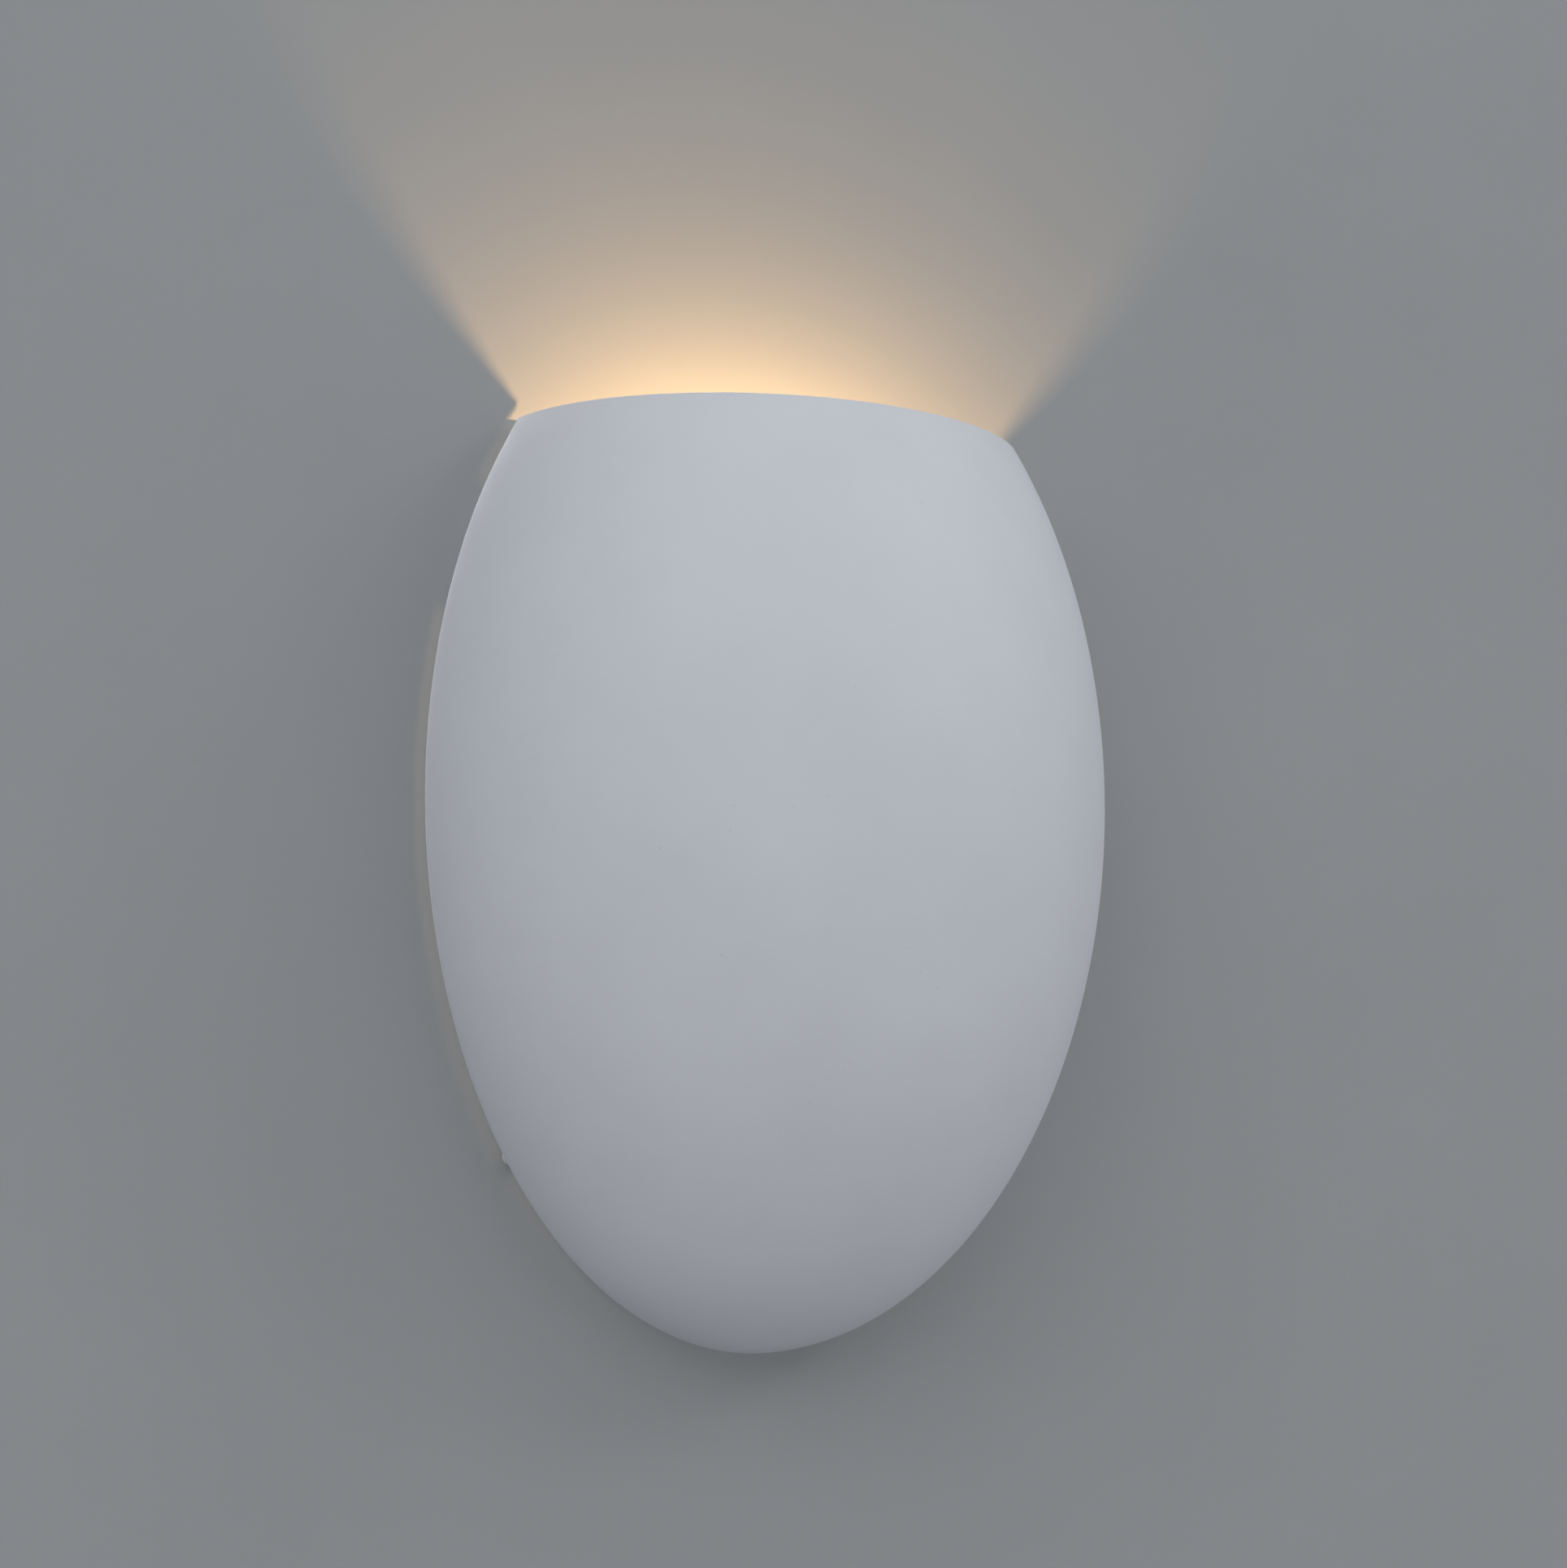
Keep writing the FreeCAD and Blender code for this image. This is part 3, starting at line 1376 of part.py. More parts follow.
def earth_set():
    x = "(-dims.earth_across)"
    z = "(-dims.earth_drop)"
    collar = rod(
        "stud_collar", "dims.stud_collar_radius", "dims.plate_sheet", x, f"-{PANEL_BACK}", z, TURN_OUT
    )
    shank = rod("stud_shank", "dims.stud_radius", "dims.stud_reach", x, f"-{PANEL_FRONT}", z, TURN_OUT)
    piece(join("earth_stud_solid", [collar, shank]), "earth_stud")

    bore_radius = "(dims.stud_radius + dims.stud_clearance)"
    washer = rod(
        "toothed_blank",
        "dims.toothed_washer_radius",
        "dims.toothed_washer_sheet",
        x,
        f"-{PANEL_FRONT}",
        z,
        TURN_OUT,
    )
    tools = [rod("toothed_bore", bore_radius, "dims.toothed_washer_sheet", x, f"-{PANEL_FRONT}", z, TURN_OUT)]
    teeth = int(value("dims.washer_teeth"))
    for n in range(teeth):
        angle = 2 * math.pi * n / teeth
        tools.append(
            rod(
                f"tooth_gap_{n}",
                "dims.tooth_depth",
                "dims.toothed_washer_sheet",
                f"{x} + {math.cos(angle):.9f} * dims.toothed_washer_radius",
                f"-{PANEL_FRONT}",
                f"{z} + {math.sin(angle):.9f} * dims.toothed_washer_radius",
                TURN_OUT,
            )
        )
    piece(cut("toothed_washer", washer, tools), "earth_washer")

    ring = rod("lug_ring", "dims.lug_ring_radius", "dims.lug_ring_sheet", x, f"-{LUG_RING_BACK}", z, TURN_OUT)
    neck = block(
        "lug_neck_strip",
        f"{x} - dims.lug_barrel_radius",
        f"-{LUG_RING_FRONT}",
        f"{z} - dims.lug_neck",
        "2 * dims.lug_barrel_radius",
        "dims.lug_ring_sheet",
        "dims.lug_neck",
    )
    barrel = rod(
        "lug_barrel", "dims.lug_barrel_radius", "dims.lug_barrel_length", x, f"-{BARREL_LINE}", BARREL_LOW
    )
    ring_bore = rod("lug_ring_bore", bore_radius, "dims.lug_ring_sheet", x, f"-{LUG_RING_BACK}", z, TURN_OUT)
    barrel_bore = rod(
        "lug_barrel_bore",
        "dims.conductor_radius",
        "dims.lug_barrel_length",
        x,
        f"-{BARREL_LINE}",
        BARREL_LOW,
    )
    web = block(
        "lug_web",
        f"{x} - dims.lug_barrel_radius",
        f"-{LUG_RING_FRONT}",
        f"{BARREL_LOW} + dims.lug_barrel_length / 2",
        "2 * dims.lug_barrel_radius",
        "dims.lug_ring_sheet",
        "dims.lug_barrel_length",
    )
    lug_blank = join("lug_blank", [ring, neck, barrel, web])
    piece(cut("earth_lug_solid", lug_blank, [ring_bore, barrel_bore]), "earth_lug")

    nut_back = f"-{LUG_RING_FRONT}"
    nut = hexagon(
        "earth_nut_blank", "dims.earth_nut_radius", "dims.earth_nut_height", x, nut_back, z, TURN_OUT
    )
    nut_bore = rod("earth_nut_bore", "dims.stud_radius", "dims.earth_nut_height", x, nut_back, z, TURN_OUT)
    piece(cut("earth_nut_solid", nut, [nut_bore]), "earth_nut")


# The leads


def lead_path(points):
    """Straight runs joined by tangent arcs, each as large as its two runs allow."""
    edges = []
    start = points[0]
    for before, corner, after in zip(points, points[1:], points[2:]):
        back, on = before - corner, after - corner
        shorter = min(back.Length, on.Length)
        turn = math.pi - back.getAngle(on)
        reach = BEND_SHARE * shorter
        radius = reach / math.tan(turn / 2)
        back.normalize()
        on.normalize()
        first = corner + back * reach
        last = corner + on * reach
        inward = back + on
        inward.normalize()
        top = corner + inward * (radius / math.cos(turn / 2) - radius)
        edges.append(Part.LineSegment(start, first).toShape())
        edges.append(Part.Arc(first, top, last).toShape())
        start = last
    edges.append(Part.LineSegment(start, points[-1]).toShape())
    return Part.Wire(edges)


def swept(path, radius):
    """A round tube along a path."""
    start = path.Edges[0]
    way = start.tangentAt(start.FirstParameter)
    ring = Part.Wire([Part.Circle(start.valueAt(start.FirstParameter), way, radius).toShape()])
    tube = path.makePipeShell([ring], True, True)
    if not near(tube.Volume / (math.pi * radius**2 * path.Length), 1):
        sys.exit("a lead's tube doesn't fill its path")
    return tube


def lead(name, points, bare_ends):
    """An insulated lead along its points, with that length of bare conductor beyond each end."""
    path = lead_path(points)
    solid = swept(path, value("dims.lead_radius"))
    conductor = value("dims.conductor_radius")
    for end, beyond, length in zip((points[0], points[-1]), (points[1], points[-2]), bare_ends):
        if length:
            way = end - beyond
            way.normalize()
            solid = solid.fuse(Part.makeCylinder(conductor, length, end, way))
    item = doc.addObject("Part::Feature", name + "_solid")
    item.Shape = solid.removeSplitter()
    piece(item, name)


def hanging(start, end, rise, sag):
    """The points of a lead that leaves start downwards, hangs, and comes up to end over its last rise."""
    below_start = start - V(0, 0, value("dims.lead_drop"))
    below_end = end - V(0, 0, rise)
    run = below_end - below_start
    low = below_start.z - sag
    hung = [below_start + run * share for share in (SAG_SHARE, 1 - SAG_SHARE)]
    return [start, below_start, *[V(point.x, point.y, low) for point in hung], below_end, end]


def leads():
    """The earth, live and neutral leads from the block's lower mouths."""
    y_mouth = -value(SLEEVE_LINE)
    z_mouth = value(SLEEVE_LOW)
    mouths = [V(value(x), y_mouth, z_mouth) for x in pole_places()[:3]]
    strip = value("dims.strip_length")

    lug_mouth = V(-value("dims.earth_across"), -value(BARREL_LINE), value(BARREL_LOW))
    earth_path = hanging(mouths[0], lug_mouth, value("dims.lead_drop"), value("dims.earth_lead_sag"))
    lead("earth_lead", earth_path, (strip, value("dims.lug_barrel_length")))

    z_tail = value(HOLDER_MID) - value("dims.contact_tail_length")
    rise = value("dims.lamp_lead_rise")
    for name, side, mouth in (("live", 1, mouths[1]), ("neutral", -1, mouths[2])):
        tail = V(side * value("dims.pin_spacing") / 2, -value("dims.lamp_reach"), z_tail)
        path = hanging(mouth, tail, rise, value(f"dims.{name}_lead_sag"))
        lead(f"{name}_lead", path, (strip, 0.0))


def check_and_write():
    """Stops on any failed object or bad shape, then writes one STEP file for each sub-part."""
    doc.recompute()
    for item in doc.Objects:
        if {"Invalid", "Error"} & set(item.State):
            sys.exit(f"{item.Name} failed: {item.State}")
    for item in PIECES:
        shape = item.Shape
        if shape.isNull() or not shape.isValid() or not shape.Solids:
            sys.exit(f"{item.Label} has no valid solid")
    os.makedirs("parts", exist_ok=True)
    for item in PIECES:
        item.Shape.exportStep(f"parts/{item.Label}.step")
        print(f"{item.Label}: {len(item.Shape.Solids)} solids, {item.Shape.Volume:.1f} mm3")


fill_sheet()
shade_shell()
hanger_strap()
strap_fixings()
back_bumpers()
wall_plate()
cable_grommet()
lamp_bracket()
bracket_rivets()
holder_base()
holder_body()
holder_contacts()
holder_fixings()
lamp_base()
lamp_dome()
lamp_core()
lamp_pins()
terminal_block()
terminal_metal()
earth_set()
leads()
check_and_write()
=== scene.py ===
import json
import math

import bmesh
import bpy
from mathutils import Matrix, Vector

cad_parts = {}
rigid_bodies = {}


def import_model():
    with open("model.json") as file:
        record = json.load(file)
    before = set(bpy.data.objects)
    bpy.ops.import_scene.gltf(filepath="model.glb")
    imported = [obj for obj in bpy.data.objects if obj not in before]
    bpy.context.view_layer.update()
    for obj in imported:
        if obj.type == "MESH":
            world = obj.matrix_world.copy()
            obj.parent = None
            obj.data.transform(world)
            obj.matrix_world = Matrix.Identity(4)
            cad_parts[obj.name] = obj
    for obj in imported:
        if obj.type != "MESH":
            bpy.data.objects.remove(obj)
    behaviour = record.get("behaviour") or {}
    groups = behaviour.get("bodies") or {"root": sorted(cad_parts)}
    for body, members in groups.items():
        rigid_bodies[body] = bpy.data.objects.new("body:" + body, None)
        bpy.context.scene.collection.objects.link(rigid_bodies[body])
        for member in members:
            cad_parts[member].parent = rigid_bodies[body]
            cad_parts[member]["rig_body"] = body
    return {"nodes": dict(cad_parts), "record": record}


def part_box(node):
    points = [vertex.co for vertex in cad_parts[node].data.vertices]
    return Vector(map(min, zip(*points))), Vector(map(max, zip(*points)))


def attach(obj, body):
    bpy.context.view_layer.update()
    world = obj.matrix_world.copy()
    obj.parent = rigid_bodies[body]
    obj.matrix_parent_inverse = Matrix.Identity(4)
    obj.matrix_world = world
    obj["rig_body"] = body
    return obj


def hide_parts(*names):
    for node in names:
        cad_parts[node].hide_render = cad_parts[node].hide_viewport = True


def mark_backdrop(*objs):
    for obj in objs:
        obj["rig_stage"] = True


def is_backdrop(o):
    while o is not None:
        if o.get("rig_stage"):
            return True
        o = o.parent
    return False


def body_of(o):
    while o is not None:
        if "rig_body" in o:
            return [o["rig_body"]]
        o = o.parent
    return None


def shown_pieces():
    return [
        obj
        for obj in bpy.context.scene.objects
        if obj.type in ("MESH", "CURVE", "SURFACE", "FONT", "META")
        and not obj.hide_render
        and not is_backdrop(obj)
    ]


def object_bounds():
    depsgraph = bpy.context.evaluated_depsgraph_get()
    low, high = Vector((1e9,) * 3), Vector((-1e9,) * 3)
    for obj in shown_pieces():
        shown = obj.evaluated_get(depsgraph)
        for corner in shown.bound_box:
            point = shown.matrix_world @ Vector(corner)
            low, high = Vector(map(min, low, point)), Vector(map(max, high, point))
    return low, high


# Uplighter wall sconce: a half-egg ceramic shade hung on a pressed steel wall plate, with its lamp,
# lampholder, terminals and earth stud. In metres; +Z is up, +X is to the right seen from the room,
# and the wall's face is at y = 0.

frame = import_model()
cad_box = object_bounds()

# The shade's own sizes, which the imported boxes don't give
SHADE_WALL = 0.006
RIM_ROUND_OUT = 0.0026
RIM_ROUND_IN = 0.0020
RIM_ROUND_SEGMENTS = 8
BACK_EDGE_ROUND = 0.0006
BACK_EDGE_SEGMENTS = 3
ARC_STEPS = 224
TURN_STEPS = 112
BISECT_SLACK = 1e-7
SAME_POINT = 1e-6
INNER_WALL_SLACK = 1.002
LUG_WIDTH = 0.026
LUG_MARGIN = 0.003
LUG_DEPTH = 0.014
LUG_ROUND = 0.003
LUG_ROUND_SEGMENTS = 6
LUG_LIMIT_SEGMENTS = 128
LUG_LIMIT_RINGS = 96
INSERT_RADIUS = 0.0035
INSERT_LENGTH = 0.010
HOLE_OVERSHOOT = 0.001


# Modelling


def select_only(*pieces):
    bpy.ops.object.select_all(action="DESELECT")
    for piece in pieces:
        piece.select_set(True)
    bpy.context.view_layer.objects.active = pieces[0]


def add(name, primitive, scale=(1, 1, 1), **settings):
    """Adds a primitive at its size and place, and puts these into its mesh."""
    bpy.ops.object.select_all(action="DESELECT")
    primitive(**settings)
    piece = bpy.context.object
    piece.name = piece.data.name = name
    piece.scale = scale
    bpy.ops.object.transform_apply(location=True, rotation=True, scale=True)
    return piece


def add_box(name, low, high):
    low, high = Vector(low), Vector(high)
    return add(
        name,
        bpy.ops.mesh.primitive_cube_add,
        size=1,
        location=(low + high) / 2,
        scale=high - low,
    )


def add_rod(name, radius, start, end, sides=48):
    start, end = Vector(start), Vector(end)
    way = end - start
    return add(
        name,
        bpy.ops.mesh.primitive_cylinder_add,
        vertices=sides,
        radius=radius,
        depth=way.length,
        location=(start + end) / 2,
        rotation=way.to_track_quat("Z", "Y").to_euler(),
    )


def start_shaping(piece):
    select_only(piece)
    bpy.ops.object.mode_set(mode="EDIT")


def stop_shaping():
    bpy.ops.object.mode_set(mode="OBJECT")


def pick_points(piece, wanted):
    bpy.ops.mesh.select_mode(type="VERT")
    bpy.ops.mesh.select_all(action="DESELECT")
    mesh = bmesh.from_edit_mesh(piece.data)
    for point in mesh.verts:
        point.select_set(wanted(point.co))
    bmesh.update_edit_mesh(piece.data)


def pick_edges(piece, wanted):
    bpy.ops.mesh.select_mode(type="EDGE")
    bpy.ops.mesh.select_all(action="DESELECT")
    mesh = bmesh.from_edit_mesh(piece.data)
    for edge in mesh.edges:
        edge.select_set(wanted(edge.verts[0].co, edge.verts[1].co))
    bmesh.update_edit_mesh(piece.data)


def combine(piece, tool, operation):
    """Unites the piece with a tool, or cuts it with the tool, and uses the tool up."""
    change = piece.modifiers.new("combined", "BOOLEAN")
    change.operation = operation
    change.solver = "EXACT"
    change.object = tool
    select_only(piece)
    bpy.ops.object.modifier_apply(modifier=change.name)
    bpy.data.objects.remove(tool)


def smooth(piece, degrees=35):
    select_only(piece)
    bpy.ops.object.shade_smooth_by_angle(angle=math.radians(degrees))


def near(a, b, slack=1e-5):
    return abs(a - b) < slack


# Finishes


def node(owner, kind, settings=None, **inputs):
    """Adds a shader node; inputs are numbers, colours or nodes' outputs, with _ for a space."""
    tree = owner.node_tree
    made = tree.nodes.new("ShaderNode" + kind)
    for name, setting in (settings or {}).items():
        setattr(made, name, setting)
    for name, given in inputs.items():
        socket = made.inputs[name.replace("_", " ")]
        if isinstance(given, bpy.types.NodeSocket):
            tree.links.new(given, socket)
        else:
            socket.default_value = given
    return made


def maths(owner, operation, *outputs, clamp=False):
    """The output of a sum of other nodes' outputs."""
    made = node(owner, "Math", {"operation": operation, "use_clamp": clamp})
    for output, socket in zip(outputs, made.inputs):
        owner.node_tree.links.new(output, socket)
    return made.outputs[0]


def new_finish(name):
    finish = bpy.data.materials.new(name)
    finish.use_nodes = True
    finish.node_tree.nodes.clear()
    return finish


def lay_on(finish, **inputs):
    """Ends a finish with one principled surface."""
    skin = node(finish, "BsdfPrincipled", **inputs)
    node(finish, "OutputMaterial", Surface=skin.outputs[0])
    return finish


def on_piece(finish, stretch=(1.0, 1.0, 1.0)):
    """Places on the piece, stretched along its axes."""
    place = node(finish, "TexCoord").outputs["Object"]
    return node(finish, "Mapping", Vector=place, Scale=stretch).outputs["Vector"]


def clouds(finish, place, scale, detail=3.0, roughness=0.55):
    """A soft random pattern from 0 to 1, with scale patches in a metre."""
    return node(
        finish, "TexNoise", Vector=place, Scale=scale, Detail=detail, Roughness=roughness
    ).outputs[0]


def tones(finish, pattern, *stops):
    """Colours laid along a pattern: each stop is (place from 0 to 1, colour)."""
    ramp = node(finish, "ValToRGB", Fac=pattern)
    marks = ramp.color_ramp.elements
    for mark, (place, colour) in zip((marks[0], marks[-1]), (stops[0], stops[-1])):
        mark.position = place
        mark.color = (*colour, 1.0)
    for place, colour in stops[1:-1]:
        marks.new(place).color = (*colour, 1.0)
    return ramp.outputs["Color"]


def between(finish, pattern, low, high, start=0.3, end=0.7):
    """A number that runs from low to high where the pattern runs from start to end."""
    return node(
        finish,
        "MapRange",
        Value=pattern,
        From_Min=start,
        From_Max=end,
        To_Min=low,
        To_Max=high,
    ).outputs[0]


def relief(finish, height, depth, strength=1.0):
    return node(finish, "Bump", Height=height, Distance=depth, Strength=strength).outputs[0]


def shades_of(colour, spread):
    """A colour made darker and lighter by a share."""
    dark = tuple(c * (1 - spread) for c in colour)
    light = tuple(min(1.0, c * (1 + spread)) for c in colour)
    return dark, light


def bisque(name, colour, spread, grain, speck):
    """Unglazed ceramic: cloudy, finely grained, with a few faint specks."""
    finish = new_finish(name)
    place = on_piece(finish)
    dark, light = shades_of(colour, spread)
    cloudy = tones(finish, clouds(finish, place, 26.0, 4.0), (0.3, dark), (0.7, light))
    cells = node(finish, "TexVoronoi", Vector=place, Scale=190.0, Randomness=1.0)
    dots = cells.outputs["Distance"]
    fewer = clouds(finish, place, 60.0, 1.0)
    dot_share = maths(
        finish,
        "SUBTRACT",
        between(finish, dots, 1.0, 0.0, 0.03, 0.09),
        between(finish, fewer, 1.0, 0.0, 0.5, 0.62),
        clamp=True,
    )
    mix = node(finish, "Mix", {"data_type": "RGBA", "blend_type": "MULTIPLY"})
    finish.node_tree.links.new(dot_share, mix.inputs[0])
    finish.node_tree.links.new(cloudy, mix.inputs[6])
    mix.inputs[7].default_value = (speck, speck, speck, 1.0)
    fine = clouds(finish, place, grain, 5.0, 0.6)
    lay_on(
        finish,
        Base_Color=mix.outputs[2],
        Roughness=between(finish, clouds(finish, place, 90.0, 2.0), 0.56, 0.66),
        Specular_IOR_Level=0.35,
        Normal=relief(finish, fine, 0.00012, 0.35),
    )
    return finish


def plated(name, colour, roughness, cell=0.0, grain=1400.0, depth=0.00003):
    """Plated or bare metal with fine scratches, and crystals of that size if it is galvanised."""
    finish = new_finish(name)
    place = on_piece(finish)
    dark, light = shades_of(colour, 0.07)
    pattern = clouds(finish, place, 70.0, 4.0)
    if cell:
        crystals = node(finish, "TexVoronoi", Vector=place, Scale=1 / cell).outputs["Color"]
        pattern = node(finish, "SeparateColor", Color=crystals).outputs[0]
    scratches = clouds(finish, on_piece(finish, (1.0, 1.0, 12.0)), grain, 3.0)
    lay_on(
        finish,
        Base_Color=tones(finish, pattern, (0.0, dark), (1.0, light)),
        Metallic=1.0,
        Roughness=between(finish, scratches, roughness * 0.85, roughness * 1.2),
        Normal=relief(finish, scratches, depth, 0.5),
    )
    return finish


def moulded(name, colour, roughness, spread=0.03, grain=900.0, depth=0.00004, **extra):
    """Moulded plastic or rubber with a faint grain."""
    finish = new_finish(name)
    place = on_piece(finish)
    dark, light = shades_of(colour, spread)
    fine = clouds(finish, place, grain, 3.0)
    lay_on(
        finish,
        Base_Color=tones(finish, clouds(finish, place, 120.0), (0.3, dark), (0.7, light)),
        Roughness=between(finish, fine, roughness * 0.9, roughness * 1.12),
        Normal=relief(finish, fine, depth, 0.4),
        **extra,
    )
    return finish


DOME_GLOW = 0.45


def lit_dome():
    """Frosted cover that glows warm, brightest level with the chips."""
    finish = new_finish("dome_frosted")
    place = on_piece(finish)
    low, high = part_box("lamp_dome")
    height = node(finish, "SeparateXYZ", Vector=place).outputs["Z"]
    rise = between(finish, height, 0.0, 1.0, low.z, high.z)
    warm = tones(
        finish,
        rise,
        (0.0, (0.75, 0.42, 0.20)),
        (0.3, (1.0, 0.74, 0.46)),
        (0.75, (1.0, 0.78, 0.50)),
        (1.0, (0.95, 0.64, 0.38)),
    )
    frost = clouds(finish, place, 1500.0, 3.0)
    lay_on(
        finish,
        Base_Color=tones(finish, frost, (0.3, (0.76, 0.74, 0.70)), (0.7, (0.82, 0.80, 0.76))),
        Roughness=between(finish, frost, 0.34, 0.46),
        Emission_Color=warm,
        Emission_Strength=DOME_GLOW,
        Normal=relief(finish, frost, 0.00003, 0.4),
    )
    return finish


def striped_silicone(name, ground, stripe):
    """Silicone sleeve with a stripe along its front and one along its back."""
    finish = new_finish(name)
    facing = node(finish, "TexCoord").outputs["Normal"]
    out = node(finish, "SeparateXYZ", Vector=facing).outputs["Y"]
    side = maths(finish, "ABSOLUTE", out)
    colours = tones(finish, side, (0.58, ground), (0.64, stripe))
    fine = clouds(finish, on_piece(finish), 900.0)
    return lay_on(
        finish,
        Base_Color=colours,
        Roughness=between(finish, fine, 0.44, 0.52),
        Normal=relief(finish, fine, 0.00003, 0.4),
    )


CERAMIC = bisque("ceramic_white", (0.585, 0.60, 0.632), 0.02, 900.0, 0.90)
STEATITE = bisque("steatite", (0.74, 0.71, 0.65), 0.03, 1500.0, 0.85)
ZINC = plated("steel_zinc", (0.62, 0.64, 0.66), 0.36, cell=0.004)
SCREW_STEEL = plated("steel_screw", (0.70, 0.70, 0.69), 0.27)
BRASS = plated("brass", (0.78, 0.58, 0.26), 0.30)
CONTACT = plated("contact_metal", (0.68, 0.66, 0.60), 0.25)
ALUMINIUM = plated("aluminium", (0.74, 0.75, 0.76), 0.34)
WHITE_RUBBER = moulded("rubber_white", (0.62, 0.62, 0.60), 0.75)
GREY_RUBBER = moulded("rubber_grey", (0.075, 0.075, 0.08), 0.65)
POLYAMIDE = moulded(
    "polyamide", (0.74, 0.73, 0.69), 0.42, Subsurface_Weight=0.15, Subsurface_Scale=0.002
)
LAMP_PLASTIC = moulded("lamp_plastic", (0.78, 0.78, 0.76), 0.28)
PHOSPHOR = moulded("chip_yellow", (0.80, 0.58, 0.10), 0.45)
EARTH_SILICONE = striped_silicone("lead_earth", (0.07, 0.30, 0.05), (0.72, 0.62, 0.03))
LIVE_SILICONE = moulded("lead_live", (0.15, 0.06, 0.03), 0.48)
NEUTRAL_SILICONE = moulded("lead_neutral", (0.03, 0.10, 0.36), 0.48)

FINISHES = {
    "ceramic_white": CERAMIC,
    "steatite": STEATITE,
    "steel_zinc": ZINC,
    "steel_screw": SCREW_STEEL,
    "brass": BRASS,
    "contact_metal": CONTACT,
    "aluminium_core": ALUMINIUM,
    "aluminium_rivet": ALUMINIUM,
    "rubber_white": WHITE_RUBBER,
    "rubber_grey": GREY_RUBBER,
    "polyamide": POLYAMIDE,
    "lamp_plastic": LAMP_PLASTIC,
    "dome_frosted": lit_dome(),
    "chip_yellow": PHOSPHOR,
    "lead_earth": EARTH_SILICONE,
    "lead_live": LIVE_SILICONE,
    "lead_neutral": NEUTRAL_SILICONE,
}


def wear(piece, finish):
    piece.data.materials.clear()
    piece.data.materials.append(finish)


SLOTS = {part["node"]: part["material_slot"] for part in frame["record"]["subparts"]}


def finish_packed_pieces():
    """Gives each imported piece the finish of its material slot."""
    for name, slot in SLOTS.items():
        wear(frame["nodes"][name], FINISHES[slot])


def dress(piece, slot, body, *nodes):
    """Gives a new piece its finish, its body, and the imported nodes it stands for."""
    wear(piece, FINISHES[slot])
    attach(piece, body)
    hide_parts(*nodes)


# Pressed, cast and moulded pieces, whose edges are a little rounded

EDGE_ROUNDS = {
    "holder_base": 0.0005,
    "holder_body": 0.0005,
    "terminal_block": 0.0004,
    "hanger_strap": 0.0003,
    "lamp_bracket": 0.0002,
    "lamp_base": 0.0004,
    "earth_lug": 0.00015,
}
EDGE_SEGMENTS = 3
FLAT_WITHIN = math.radians(1.0)
SHARP_BEYOND = math.radians(50)


def round_edges_of(name, radius):
    """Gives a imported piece's shape rounded edges, and lets the rounded one stand for it."""
    packed = frame["nodes"][name]
    piece = bpy.data.objects.new(name + "_rounded", packed.data.copy())
    bpy.context.scene.collection.objects.link(piece)
    start_shaping(piece)
    bpy.ops.mesh.select_all(action="SELECT")
    bpy.ops.mesh.remove_doubles(threshold=SAME_POINT)
    bpy.ops.mesh.select_all(action="SELECT")
    bpy.ops.mesh.dissolve_limited(angle_limit=FLAT_WITHIN)
    stop_shaping()
    edges = piece.modifiers.new("edges", "BEVEL")
    edges.width = radius
    edges.segments = EDGE_SEGMENTS
    edges.limit_method = "ANGLE"
    edges.angle_limit = SHARP_BEYOND
    select_only(piece)
    bpy.ops.object.modifier_apply(modifier=edges.name)
    smooth(piece)
    dress(piece, SLOTS[name], packed["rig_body"], name)


# The ceramic shade


def half_ellipse(name, across, upward, top):
    """The right half of an upright ellipse round the origin, without what lies above top."""
    arc = add(
        name,
        bpy.ops.mesh.primitive_circle_add,
        vertices=ARC_STEPS,
        radius=1,
        rotation=(math.pi / 2, 0, 0),
        scale=(across, upward, 1),
    )
    start_shaping(arc)
    bpy.ops.mesh.select_all(action="SELECT")
    bpy.ops.mesh.bisect(
        plane_co=(0, 0, 0), plane_no=(1, 0, 0), clear_inner=True, threshold=BISECT_SLACK
    )
    bpy.ops.mesh.select_all(action="SELECT")
    bpy.ops.mesh.bisect(
        plane_co=(0, 0, top), plane_no=(0, 0, 1), clear_outer=True, threshold=BISECT_SLACK
    )
    stop_shaping()
    return arc


